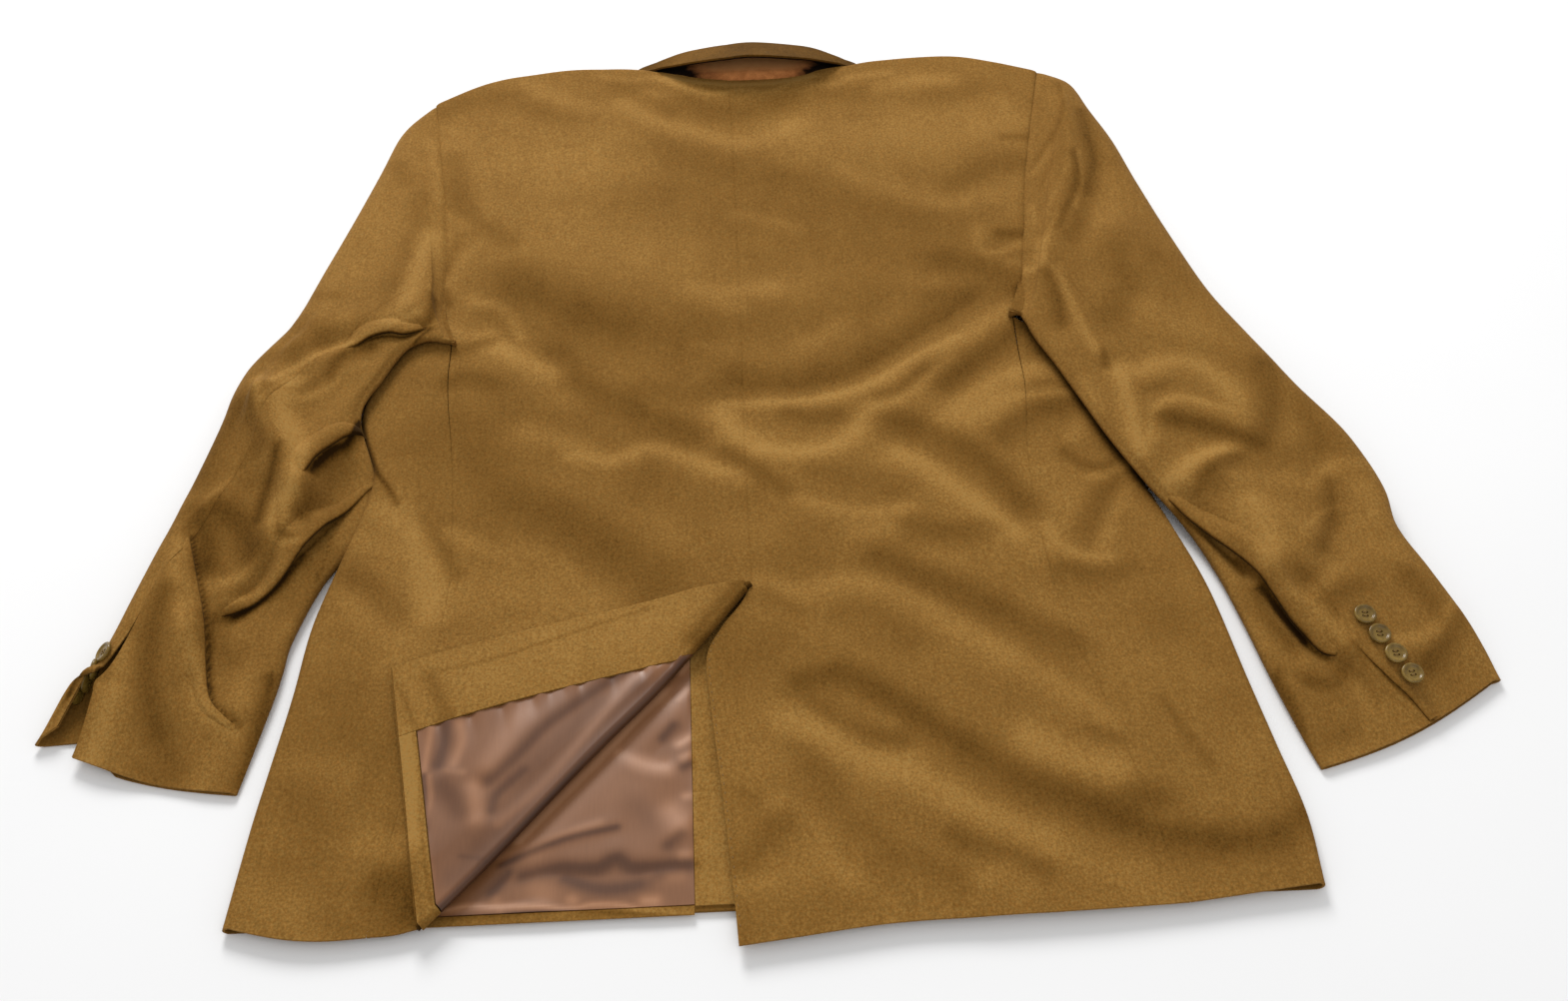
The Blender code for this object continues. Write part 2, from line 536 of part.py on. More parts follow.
# ---- fronts ------------------------------------------------------------------
def front_panel(side):
    right = side == "right"
    sign = 1 if right else -1
    outer = np.vstack([under_end[side] - np.array([sign * SEAM, 0]),
                       side_line[side][ROWS_SEAM + 2:] - np.array([sign * 0.08, 0])])
    inner = through(FRONT_EDGE_RIGHT if right else FRONT_EDGE_LEFT)(
        np.linspace(0, 1, len(outer)))
    v = np.array([0.0, 0.12, 0.25, 0.38, 0.6, 0.8, 1.0])[:, None]
    plan = patch(inner, outer, inner[0] + (outer[0] - inner[0]) * v,
                 inner[-1] + (outer[-1] - inner[-1]) * v, v)
    over = FRONT + LAYER if right else 0.0
    near = np.clip((9.6 - plan[..., 0]) / 2.0, 0, 1) if right else 0 * plan[..., 0]
    low = over * near
    slab_pair = (lift(plan, low + FRONT), lift(plan, low))
    if not right:
        slab_pair = tuple(grid[:, ::-1] for grid in slab_pair)
    slab(f"front_{side}", *slab_pair, SUEDE_UNDER)


front_panel("right")
front_panel("left")


# ---- sleeves -------------------------------------------------------------------
def underside(raised, share):
    """Height of a sleeve's under side, raised where it lies on the side panel."""
    down = np.clip((0.86 - share) / 0.34, 0, 1)
    return raised * (1 - down * down * (3 - 2 * down))


def outward(line, away_from):
    """Unit normals of a line of plan points, pointing away from another line."""
    along = np.gradient(line, axis=0)
    along /= np.linalg.norm(along, axis=1, keepdims=True)
    normal = np.stack([-along[:, 1], along[:, 0]], axis=1)
    side = np.sign(np.sum(normal * (line - away_from), axis=1))
    return normal * side[:, None]


def sleeve(side):
    """Rings of a sleeve's outer side, from the armhole to the cuff.

    A ring runs round the outer edge, over the top to the inner edge, round it,
    and back below.
    """
    right = side == "right"
    stations = through(SLEEVE_RIGHT if right else SLEEVE_LEFT)
    arm_folds = ARM_FOLDS_RIGHT if right else ARM_FOLDS_LEFT
    shares = np.linspace(0, 1, RINGS_SLEEVE)
    table = np.array([stations(s) for s in shares])
    outer_line, inner_line = table[:, 0:2], table[:, 2:4]
    out_o, out_i = outward(outer_line, inner_line), outward(inner_line, outer_line)
    along = outer_line - inner_line
    along /= np.linalg.norm(along, axis=1, keepdims=True)
    square = np.clip(shares / 0.12, 0, 1)[:, None]
    out_o = along + (out_o - along) * square
    out_o /= np.linalg.norm(out_o, axis=1, keepdims=True)
    armhole = side_line[side][ROWS_SEAM:][::-1]
    top_at = np.linspace(0, 1, len(armhole))
    straight = armhole[0] + (armhole[-1] - armhole[0]) * top_at[:, None]
    bow = armhole - straight
    rings = []
    for n, s in enumerate(shares):
        high, tuck, deep, low, seam, raised = table[n, 4:]
        raised = max(0.0, raised)
        width = np.linalg.norm(inner_line[n] - outer_line[n])
        edge_o = 1.05 * high / 2
        tall = max(FOLD_TALL, 0.88 * min(high, low) - raised)
        edge_i = max(0.45, 0.55 * tall)
        start, end = outer_line[n] - out_o[n] * edge_o, inner_line[n] - out_i[n] * edge_i
        inside = (1 - (edge_o + edge_i) / width)
        plan, z, share = [], [], []
        for turn in (-90, -45, 0, 45):
            a = math.radians(turn)
            plan.append(start + out_o[n] * edge_o * math.cos(a))
            z.append(high * 0.44 * (1 + math.sin(a)))
            share.append(edge_o / width)
        middle = np.clip((seam - edge_o / width) / inside, 0.10, 0.96)
        columns = np.concatenate([np.linspace(0, middle, COLS_OUTER),
                                  np.linspace(middle, 1, COLS_INNER)[1:]])
        for k in columns:
            t = edge_o / width + inside * k
            rise = high * (0.88 + 0.12 * math.sin(math.pi * min(1, t / max(tuck, 0.2))))
            beyond = 1 / (1 + math.exp(-(t - tuck) / 0.035))
            at = rise + (low - rise) * beyond
            at -= deep * math.exp(-((t - tuck) / 0.05) ** 2) * 0.8
            plan.append(start + (end - start) * k)
            z.append(max(at, underside(raised, t) + FOLD_TALL))
            share.append(t)
        for turn in (45, 0, -45, -90):
            a = math.radians(turn)
            plan.append(end + out_i[n] * edge_i * math.cos(a))
            z.append(raised + tall * 0.5 * (1 + math.sin(a)))
            share.append(1 - edge_i / width)
        for k in np.linspace(1, 0, 8)[1:-1]:
            t = edge_o / width + inside * k
            plan.append(start + (end - start) * k)
            z.append(underside(raised, t))
            share.append(t)
        plan, z, share = np.array(plan), np.array(z), np.array(share)
        bend = np.stack([np.interp(share, top_at, bow[:, k]) for k in (0, 1)], 1)
        plan = plan + bend * max(0.0, 1 - s / 0.35) ** 2
        near_cuff = np.clip((s - 0.8) / 0.2, 0, 1) ** 2
        plan[:, 1] -= CUFF_BOW * near_cuff * np.sin(math.pi * share)
        # Folds and the level of the armhole apply to the upper layer only.
        upper = slice(4, 4 + len(columns))
        least = underside(raised, share[upper]) + FOLD_TALL
        crest = np.clip(np.minimum(columns, 1 - columns) * 8 + 0.3, 0, 1)
        x, y = plan[upper].T
        z[upper] = np.maximum(z[upper] + folds(arm_folds, x, y) * crest * min(1, n / 2), least)
        beside = np.maximum(back_height(x, y) + 0.03, least)
        z[upper] += (beside - z[upper]) * np.clip(1 - s / 0.06, 0, 1)
        rings.append(lift(plan, z))
    return np.stack(rings)


def sleeve_pieces(side):
    right = side == "right"
    rings = sleeve(side)
    seam_col = 4 + COLS_OUTER - 1
    bottom_col = seam_col + COLS_INNER - 1 + 5
    total = rings.shape[1]
    upper = list(range(bottom_col + 1, total)) + list(range(0, seam_col + 1))
    under = list(range(seam_col, bottom_col + 1))
    top = rings[:, upper].copy()
    low = rings[:, under].copy()
    # Clear the two seams by the seam gap.
    for grid, own, other in ((top, -1, -2), (low, 0, 1)):
        step = grid[:, other] - grid[:, own]
        step /= np.linalg.norm(step, axis=1, keepdims=True)
        grid[:, own] += step * SEAM * 4.0
    cloth(f"sleeve_{side}_top", top, SUEDE, flip=not right)
    cloth(f"sleeve_{side}_under", low, SUEDE_UNDER, flip=not right)


sleeve_pieces("right")
sleeve_pieces("left")


# ---- collar --------------------------------------------------------------------
def collar_grid(out, short):
    """The collar at a distance from its inside: stand, roll and fall."""
    stations = through(COLLAR)
    rows = []
    for s in np.linspace(0, 1, 17):
        x, off, z, stand, fall, rise = stations(s)
        y = float(np.interp(x, neck_edge[:, 0], neck_edge[:, 1])) + off
        before, after = stations(max(0.0, s - 0.02)), stations(min(1.0, s + 0.02))
        slope = math.atan2(after[2] - before[2], after[0] - before[0])
        tilt = math.radians(rise)
        section = [(stand * k, -out) for k in np.linspace(0, 1, 4)]
        radius = ROLL_RADIUS + out
        for turn in (30, 60, 90, 120, 150):
            a = math.radians(turn)
            section.append((stand + radius * math.sin(a), ROLL_RADIUS - radius * math.cos(a)))
        end = math.pi - tilt
        root = (stand + radius * math.sin(end), ROLL_RADIUS - radius * math.cos(end))
        for reach in np.linspace(0, fall - short, 5):
            section.append((root[0] - reach * math.cos(tilt), root[1] + reach * math.sin(tilt)))
        rows.append([(x - h * math.sin(slope), y + d, z + h * math.cos(slope))
                     for d, h in section])
    return np.array(rows)


cloth("undercollar", collar_grid(0.0, 0.15), FELT, thick=MELTON, flip=True)
cloth("top_collar", collar_grid(MELTON + SEAM, 0.0), SUEDE, flip=True)


# ---- what shows on the folded corner -------------------------------------------
def strip_on_flap(name, t_range, u_low, u_high, low, thick, spec, rows=9, cols=5):
    ts = np.linspace(*t_range, rows)
    grid_top, grid_low = [], []
    for t in ts:
        start = u_low(t)
        bend = max(0.0, start + 0.02)
        us = np.concatenate([np.linspace(start, bend, 5)[:-1],
                             np.linspace(bend, u_high(t), cols)])
        grid_low.append(flap_point(t, us, low))
        grid_top.append(flap_point(t, us, low + thick))
    slab(name, np.array(grid_top), np.array(grid_low), spec)


def flap_length(t):
    base = np.array([np.interp(t, vent_shares, fold_line[:, k]) for k in (0, 1)])
    return float(np.linalg.norm(flap_edge(t) - base))


FACING_WIDTH = 5.2
HEM_SHARE = 0.95
over_shell = CLOTH + LAYER


def facing_from(t):
    return max(0.0, 1 - FACING_WIDTH * 1.02 / flap_length(t))


strip_on_flap("vent_facing", (0.09, 0.995), facing_from,
              lambda t: 0.995, over_shell, FACING, SUEDE, rows=11)
strip_on_flap("vent_lining", (0.30, HEM_SHARE - 0.002), lambda t: -0.7,
              lambda t: facing_from(t) - SEAM / flap_length(t), over_shell, LINING, SATIN,
              rows=9, cols=9)
strip_on_flap("vent_hem_facing", (HEM_SHARE + 0.001, 0.995), lambda t: -0.5,
              lambda t: facing_from(t) - SEAM / flap_length(t), over_shell, FACING,
              SUEDE_UNDER, rows=3, cols=9)


# ---- what shows of the left front inside the vent -------------------------------
def plate(name, plan, low, thick, spec):
    slab(name, lift(plan, low + thick + 0 * plan[..., 0]), lift(plan, low + 0 * plan[..., 0]),
         spec)


def window_plan(y0, y1, right_x, left_of, rows, cols):
    ys = np.linspace(y0, y1, rows)
    plan = []
    for y in ys:
        left = left_of(y)
        plan.append([(left + (right_x - left) * k, y) for k in np.linspace(0, 1, cols)])
    return np.array(plan)


def behind_fold(y):
    return float(np.interp(y, fold_line[::-1, 1], fold_line[::-1, 0])) - 2.0


on_front = FRONT + SEAM
plate("front_lining", window_plan(3.0, 22.5, -4.35, behind_fold, 9, 5), on_front, LINING,
      SATIN)
plate("front_facing", window_plan(2.9, 24.0, -1.2, lambda y: -4.31, 7, 3), on_front,
      FACING, SUEDE)
plate("front_hem_facing", window_plan(2.35, 2.95 - SEAM, -4.35, lambda y: -20.5, 2, 7),
      on_front, LINING, SUEDE_UNDER)


# ---- buttons ---------------------------------------------------------------------
def button(name, place, tilt):
    """A four-hole button: a dished disc with a raised rim, turned as one solid."""
    profile = [
        # radius share, height share
        (0.00, 0.00), (0.70, 0.00), (0.92, 0.30), (1.00, 0.62), (0.97, 0.88),
        (0.88, 1.00), (0.76, 0.94), (0.66, 0.70), (0.00, 0.66),
    ]
    steps = 16
    points, faces = [], []
    for r, h in profile[1:-1]:
        for k in range(steps):
            a = 2 * math.pi * k / steps
            points.append((BUTTON_RADIUS * r * math.cos(a), BUTTON_RADIUS * r * math.sin(a),
                           BUTTON_HEIGHT * h))
    rings = len(profile) - 2
    for i in range(rings - 1):
        for k in range(steps):
            n = (k + 1) % steps
            faces.append((i * steps + k, i * steps + n, (i + 1) * steps + n,
                          (i + 1) * steps + k))
    faces.append(tuple(range(steps - 1, -1, -1)))
    faces.append(tuple((rings - 1) * steps + k for k in range(steps)))
    made = piece(name, points, faces, HORN)
    made.location = [c * CM for c in place]
    made.rotation_euler = [math.radians(a) for a in tilt]
    return made


def finer(grid, times=6):
    """A grid of points with straight steps between its rows and columns."""
    for axis in (0, 1):
        old = np.arange(grid.shape[axis])
        new = np.linspace(0, old[-1], old[-1] * times + 1)
        low = np.minimum(new.astype(int), old[-1] - 1)
        part = (new - low).reshape([-1 if k == axis else 1 for k in range(3)])
        grid = (np.take(grid, low, axis) * (1 - part) + np.take(grid, low + 1, axis) * part)
    return grid


def seat(side, x, y):
    """A flat seat on the upper layer of a sleeve: its normal and its height at x, y."""
    rings = sleeve(side)
    top = finer(rings[:, 4:3 + COLS_OUTER + COLS_INNER]).reshape(-1, 3)
    near = top[np.hypot(top[:, 0] - x, top[:, 1] - y) < BUTTON_RADIUS + 0.1]
    plane = np.column_stack([np.ones(len(near)), near[:, 0] - x, near[:, 1] - y])
    fit = np.linalg.lstsq(plane, near[:, 2], rcond=None)[0]
    proud = float(np.max(near[:, 2] - plane @ fit))
    normal = np.array([-fit[1], -fit[2], 1.0])
    return normal / np.linalg.norm(normal), float(fit[0]) + proud


def edge_seat(side, share, turn):
    """A seat on the rounded outer edge of a sleeve, turned up from level."""
    ox, oy, ix, iy, high = through(SLEEVE_RIGHT if side == "right" else SLEEVE_LEFT)(share)[:5]
    inward = np.array([ix - ox, iy - oy])
    inward /= np.linalg.norm(inward)
    wide, tall = 1.05 * high / 2, high * 0.44
    a = math.radians(turn)
    at = np.array([ox, oy]) + inward * wide * (1 - math.cos(a))
    normal = np.array([*(-inward * math.cos(a) / wide), math.sin(a) / tall])
    return normal / np.linalg.norm(normal), np.array([*at, tall * (1 + math.sin(a))])


def turn_to(normal):
    return tuple(math.degrees(a) for a in Vector(normal).to_track_quat("Z", "Y").to_euler())


for n, (x, y) in enumerate(CUFF_BUTTONS_RIGHT, 1):
    normal, z = seat("right", x, y)
    button(f"cuff_button_right_{n}", np.array([x, y, z]) + normal * 0.04, turn_to(normal))
for n, (share, turn, out) in enumerate(CUFF_BUTTONS_LEFT, 1):
    normal, at = edge_seat("left", share, turn)
    button(f"cuff_button_left_{n}", at + normal * out, turn_to(normal))

# ---- centre the jacket on its own box ---------------------------------------------
bpy.context.view_layer.update()
graph = bpy.context.evaluated_depsgraph_get()
low, high = np.full(3, 1e9), np.full(3, -1e9)
for made in jacket.objects:
    evaluated = made.evaluated_get(graph)
    mesh = evaluated.to_mesh()
    for vertex in mesh.vertices:
        at = evaluated.matrix_world @ vertex.co
        low, high = np.minimum(low, at), np.maximum(high, at)
    evaluated.to_mesh_clear()
shift = ((low[0] + high[0]) / 2, (low[1] + high[1]) / 2, low[2])
for made in jacket.objects:
    if made.location.length == 0:
        for vertex in made.data.vertices:
            vertex.co.x -= shift[0]
            vertex.co.y -= shift[1]
            vertex.co.z -= shift[2]
    else:
        made.location = [c - s for c, s in zip(made.location, shift)]
print("moved by", shift, "size", high - low)
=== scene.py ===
# %% [markdown]
# # A suede jacket, laid face down
# A tailor's jacket in brushed microsuede lies on its front, with its back up and the
# corner beside the vent folded over. Every panel is one sheet of cloth, so every piece
# here is a fine grid of points with a thin wall under it. The big forms are the same as
# in the solid model. The soft folds come from short strokes that say
# how far the cloth leans toward the light.

import json
import math

import bpy
import numpy as np
from mathutils import Matrix, Vector
from mathutils.bvhtree import BVHTree

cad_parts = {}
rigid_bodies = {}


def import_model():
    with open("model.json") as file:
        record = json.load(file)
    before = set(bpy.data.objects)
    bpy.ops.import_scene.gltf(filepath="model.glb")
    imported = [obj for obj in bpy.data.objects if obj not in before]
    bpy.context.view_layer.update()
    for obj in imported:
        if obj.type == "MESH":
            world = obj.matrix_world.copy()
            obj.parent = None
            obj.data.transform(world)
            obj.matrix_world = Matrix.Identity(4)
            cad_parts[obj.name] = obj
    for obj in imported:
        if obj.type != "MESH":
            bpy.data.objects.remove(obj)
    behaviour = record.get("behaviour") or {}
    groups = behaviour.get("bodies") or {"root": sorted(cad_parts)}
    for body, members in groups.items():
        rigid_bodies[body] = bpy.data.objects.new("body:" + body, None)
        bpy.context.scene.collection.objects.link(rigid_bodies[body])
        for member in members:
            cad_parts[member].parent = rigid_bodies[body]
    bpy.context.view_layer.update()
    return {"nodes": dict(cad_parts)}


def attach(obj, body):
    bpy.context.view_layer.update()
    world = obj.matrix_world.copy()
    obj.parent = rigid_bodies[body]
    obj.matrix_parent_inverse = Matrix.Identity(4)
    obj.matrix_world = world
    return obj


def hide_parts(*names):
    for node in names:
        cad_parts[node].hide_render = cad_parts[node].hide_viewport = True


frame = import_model()
ROOT = "root"
print("pieces in the solid model:", len(frame["nodes"]))

# %% [markdown]
# ## Sizes and lines
# The tables are in centimetres: x from the centre-back seam, y from the right hem
# corner, z over the surface. `to_row` turns them into the row frame, in metres. They
# follow the lines of the solid model, so both fit each other.

# %% Sizes in centimetres
SHIFT = np.array([0.0135, 0.4214963, 0.0])
CLOTH, LINING, FACING, MELTON, FRONT = 0.16, 0.10, 0.14, 0.15, 0.28
LAYER, SEAM = 0.05, 0.002  # gaps between two layers and inside a seam
OVER = CLOTH + LAYER  # what lies on the cloth starts here
FOLD_RADIUS, ROLL_RADIUS = 0.11, 0.22  # inside the vent's fold and the collar's roll
LEAST, FOLD_TALL = 0.62, 0.66  # least heights of the back and over a sleeve's under side
EDGE_REACH = 3.0  # how far a side panel runs on under the body
FACING_WIDTH, HEM_SHARE = 5.2, 0.95
CUFF_BOW, HEM_BOW, ARMHOLE_BOW = 0.8, 0.5, 1.5
NECK_MIDDLE, NECK_HALF = 2.2, 8.0
SLEEVE_LONG = 62
DETAIL = 9  # grid lines for each stretch of cloth


def to_row(points):
    return np.asarray(points, float) * 0.01 - SHIFT


# %% Heights of the back and the body's width
BACK_HEIGHT = [
    # y, left edge, half left, centre, half right, right edge
    (-2.0, 0.90, 0.95, 0.88, 0.95, 1.05), (6.0, 0.95, 1.00, 0.90, 1.05, 1.10),
    (14.0, 1.05, 1.10, 0.95, 1.25, 1.20), (22.0, 1.15, 1.25, 1.10, 1.40, 1.25),
    (30.0, 1.25, 1.45, 1.40, 1.50, 1.35), (40.0, 1.45, 1.70, 1.75, 1.75, 1.50),
    (50.0, 1.75, 2.05, 2.05, 2.10, 1.80), (60.0, 2.20, 2.40, 2.35, 2.45, 2.25),
    (70.0, 2.75, 2.85, 2.75, 2.90, 2.80), (78.0, 3.05, 3.20, 3.25, 3.30, 3.10),
    (84.0, 3.05, 3.30, 3.50, 3.40, 3.10),
]
HALF_WIDTH = [
    (-2.0, 34.0), (10.0, 33.0), (25.0, 31.0), (38.0, 27.0), (46.0, 24.0),
    (52.0, 22.8), (60.0, 23.4), (70.0, 25.0), (80.0, 27.0), (84.0, 27.5),
]

# %% Outlines of the panels
HEM_RIGHT = [(-1.8, 0.0), (1.8, 0.4), (7.7, 1.0), (13.6, 1.1), (19.6, 1.2), (25.1, 1.4)]
HEM_LEFT = [(-20.5, 1.9), (-22.0, 1.7), (-23.6, 1.7)]
SEAM_RIGHT = [(25.1, 1.4), (23.7, 8.9), (22.3, 16.4), (20.9, 22.0), (20.3, 30.0),
              (20.5, 37.1), (21.2, 44.0), (21.2, 50.5)]
SEAM_LEFT = [(-23.6, 1.7), (-22.7, 8.0), (-21.7, 15.0), (-21.0, 21.0), (-20.6, 28.7),
             (-21.2, 38.4), (-21.9, 45.0), (-21.9, 49.3)]
ARMHOLE_RIGHT = [(21.2, 50.5), (22.3, 53.4), (23.0, 57.2), (23.7, 61.3), (24.3, 65.4),
                 (25.3, 70.6), (26.5, 76.1), (27.3, 79.9)]
ARMHOLE_LEFT = [(-21.9, 49.3), (-23.0, 52.9), (-23.1, 56.9), (-23.3, 61.1), (-23.7, 65.4),
                (-24.2, 69.9), (-24.8, 74.6), (-25.2, 78.0)]
SHOULDER_RIGHT = [(0.2, 80.2), (5.5, 80.4), (10.2, 81.2), (13.6, 81.9), (19.5, 82.3),
                  (23.5, 81.4), (27.3, 79.9)]
SHOULDER_LEFT = [(0.2, 80.2), (-3.2, 80.6), (-6.3, 81.4), (-10.3, 81.9), (-14.7, 81.9),
                 (-20.6, 80.6), (-25.2, 78.0)]
CENTRE = [(0.0, 26.1), (0.0, 37.5), (0.1, 47.4), (0.2, 58.1), (0.2, 68.6), (0.2, 80.2)]
FOLD_LINE = [(0.0, 26.1), (-3.5, 21.6), (-6.7, 17.5), (-9.9, 13.9), (-12.9, 10.4),
             (-15.8, 7.0), (-18.2, 4.3), (-20.5, 1.9)]
VENT_UNDER = [(-1.8, 0.0), (-1.9, 2.0), (-2.1, 5.0), (-2.5, 10.4), (-3.0, 16.3),
              (-3.2, 20.4), (-2.2, 22.6), (-0.8, 24.5), (0.0, 26.1)]
VENT_EDGE = [(0.0, 26.1), (-3.5, 25.7), (-6.9, 24.9), (-10.2, 24.0), (-13.5, 23.1),
             (-16.8, 22.2), (-20.0, 21.2), (-23.7, 19.9)]
EDGE_RIGHT = [(33.5, 2.2), (33.6, 7.0), (32.9, 12.0), (32.2, 17.0), (31.2, 24.5),
              (29.7, 30.3), (28.6, 33.9), (27.5, 38.3), (26.3, 42.3), (25.0, 46.0),
              (23.9, 49.2)]
EDGE_LEFT = [(-32.2, 2.7), (-31.5, 9.3), (-31.0, 13.0), (-30.2, 18.8), (-29.6, 24.5),
             (-28.3, 30.0), (-27.1, 35.0), (-26.9, 38.0), (-28.1, 41.6), (-28.0, 45.4),
             (-26.0, 49.8)]
FRONT_EDGE_RIGHT = [(3.0, 3.0), (0.0, 8.0), (0.0, 34.0), (3.5, 52.0), (8.0, 70.0),
                    (9.6, 79.6)]
FRONT_EDGE_LEFT = [(0.4, 2.6), (4.4, 8.0), (4.4, 34.0), (0.3, 52.0), (-4.2, 70.0),
                   (-5.8, 79.8)]

# %% Sections of the sleeves
# outer end x, y; inner end x, y; height; where the deep fold runs; its depth; height
# beyond it; where the back seam runs; height of the under side at the inner end
SLEEVE_RIGHT = [
    (27.6, 81.3, 21.6, 50.4, 2.90, 0.95, 0.00, 2.80, 0.760, 2.10),
    (30.3, 79.3, 21.7, 50.0, 3.20, 0.95, 0.00, 2.80, 0.765, 2.10),
    (31.5, 75.2, 21.8, 49.6, 3.40, 0.95, 0.00, 2.80, 0.750, 2.10),
    (32.8, 71.0, 22.0, 49.1, 3.40, 0.95, 0.00, 2.80, 0.740, 2.10),
    (33.9, 65.5, 22.2, 48.4, 3.30, 0.95, 0.00, 2.80, 0.700, 2.05),
    (35.2, 59.5, 22.6, 47.3, 3.20, 0.95, 0.00, 2.80, 0.670, 1.95),
    (36.9, 53.0, 23.6, 45.0, 3.10, 0.95, 0.00, 2.75, 0.640, 1.85),
    (38.9, 48.0, 24.9, 41.4, 3.00, 0.95, 0.00, 2.70, 0.640, 1.80),
    (41.5, 42.1, 26.4, 37.4, 2.90, 0.95, 0.00, 2.60, 0.690, 1.70),
    (44.0, 37.3, 28.3, 33.4, 2.75, 0.95, 0.10, 2.30, 0.730, 1.40),
    (45.3, 32.3, 30.4, 30.0, 2.55, 0.93, 0.70, 1.70, 0.730, 0.60),
    (45.3, 28.6, 31.9, 26.4, 2.35, 0.90, 1.10, 1.30, 0.670, 0.00),
    (46.5, 24.9, 32.9, 22.0, 2.10, 0.82, 1.20, 1.15, 0.630, 0.00),
    (47.7, 21.4, 33.8, 17.0, 1.80, 0.71, 1.00, 1.10, 0.600, 0.00),
    (48.5, 18.6, 34.7, 13.0, 1.40, 0.62, 0.40, 1.00, 0.530, 0.00),
    (48.9, 16.4, 35.4, 10.4, 1.10, 0.60, 0.00, 0.90, 0.437, 0.00),
]
SLEEVE_LEFT = [
    (-25.3, 79.4, -22.3, 49.4, 2.80, 0.93, 0.00, 2.75, 0.760, 2.05),
    (-28.0, 75.7, -22.6, 49.5, 3.10, 0.93, 0.00, 2.75, 0.750, 2.05),
    (-29.4, 70.3, -22.9, 49.6, 3.20, 0.93, 0.00, 2.75, 0.730, 2.05),
    (-30.9, 64.5, -23.4, 49.7, 3.20, 0.93, 0.05, 2.75, 0.690, 2.00),
    (-32.5, 58.8, -24.1, 49.6, 3.10, 0.93, 0.10, 2.80, 0.640, 2.00),
    (-34.4, 52.2, -25.3, 48.8, 3.10, 0.93, 0.10, 2.80, 0.570, 1.90),
    (-37.1, 47.4, -26.7, 46.0, 3.20, 0.93, 0.00, 2.80, 0.480, 1.80),
    (-38.1, 42.4, -28.0, 42.3, 3.10, 0.93, 0.10, 2.50, 0.370, 1.60),
    (-39.2, 37.4, -26.6, 36.8, 2.85, 0.80, 0.70, 1.15, 0.270, 0.00),
    (-40.5, 32.2, -27.4, 31.9, 2.60, 0.76, 1.00, 1.10, 0.200, 0.00),
    (-41.8, 27.0, -29.4, 27.9, 2.40, 0.66, 1.20, 1.15, 0.100, 0.00),
    (-42.6, 23.9, -30.8, 23.5, 2.20, 0.58, 0.80, 1.10, 0.090, 0.00),
    (-43.4, 21.6, -31.1, 21.0, 2.00, 0.57, 0.50, 1.08, 0.090, 0.00),
    (-44.8, 19.9, -31.5, 18.4, 1.80, 0.56, 0.20, 1.00, 0.155, 0.00),
    (-46.2, 16.4, -32.8, 12.1, 1.40, 0.56, 0.00, 0.90, 0.205, 0.00),
]
# The largest folds of the sleeves: x0, y0, x1, y1, height, half-width.
ARM_FOLDS = {
    "right": [(29.0, 77.0, 27.8, 66.5, 0.35, 1.5), (33.5, 33.5, 38.0, 27.0, 0.35, 1.6),
              (30.5, 58.0, 33.0, 46.0, 0.25, 2.0), (40.5, 37.0, 41.5, 27.0, -0.25, 1.8)],
    "left": [(-25.2, 50.6, -31.0, 49.0, -0.70, 1.4), (-25.6, 52.0, -32.9, 49.4, 0.35, 1.6),
             (-32.9, 48.1, -35.2, 43.5, 0.60, 1.5), (-34.8, 43.5, -31.6, 35.2, 0.65, 1.4),
             (-31.6, 35.2, -32.4, 29.0, 0.60, 1.3), (-27.5, 47.0, -31.5, 42.0, -0.35, 1.4),
             (-34.6, 35.0, -36.4, 26.0, -0.45, 1.7), (-39.6, 31.0, -37.2, 24.0, 0.45, 1.4),
             (-37.2, 24.0, -34.2, 17.6, 0.35, 1.4), (-36.9, 27.0, -35.2, 19.6, -0.30, 1.0)],
}
COLLAR = [
    # x, off, z, stand, fall, rise
    (-7.8, 0.60, 0.80, 0.4, 0.4, 0.0), (-7.4, 0.55, 1.45, 0.5, 0.5, 0.0),
    (-6.6, 0.45, 2.10, 0.6, 0.7, 4.0), (-5.2, 0.20, 2.90, 1.1, 1.3, 9.0),
    (-3.0, 0.05, 3.40, 2.2, 3.0, 17.0), (0.6, 0.05, 3.60, 3.1, 4.3, 21.0),
    (3.4, 0.05, 3.60, 3.1, 4.3, 21.0), (7.0, 0.05, 3.40, 2.3, 3.1, 17.0),
    (9.3, 0.20, 2.90, 1.1, 1.3, 9.0), (10.7, 0.45, 2.10, 0.6, 0.7, 4.0),
    (11.4, 0.55, 1.45, 0.5, 0.5, 0.0), (11.8, 0.60, 0.80, 0.4, 0.4, 0.0),
]
print("sleeve sections:", len(SLEEVE_RIGHT), "and", len(SLEEVE_LEFT))
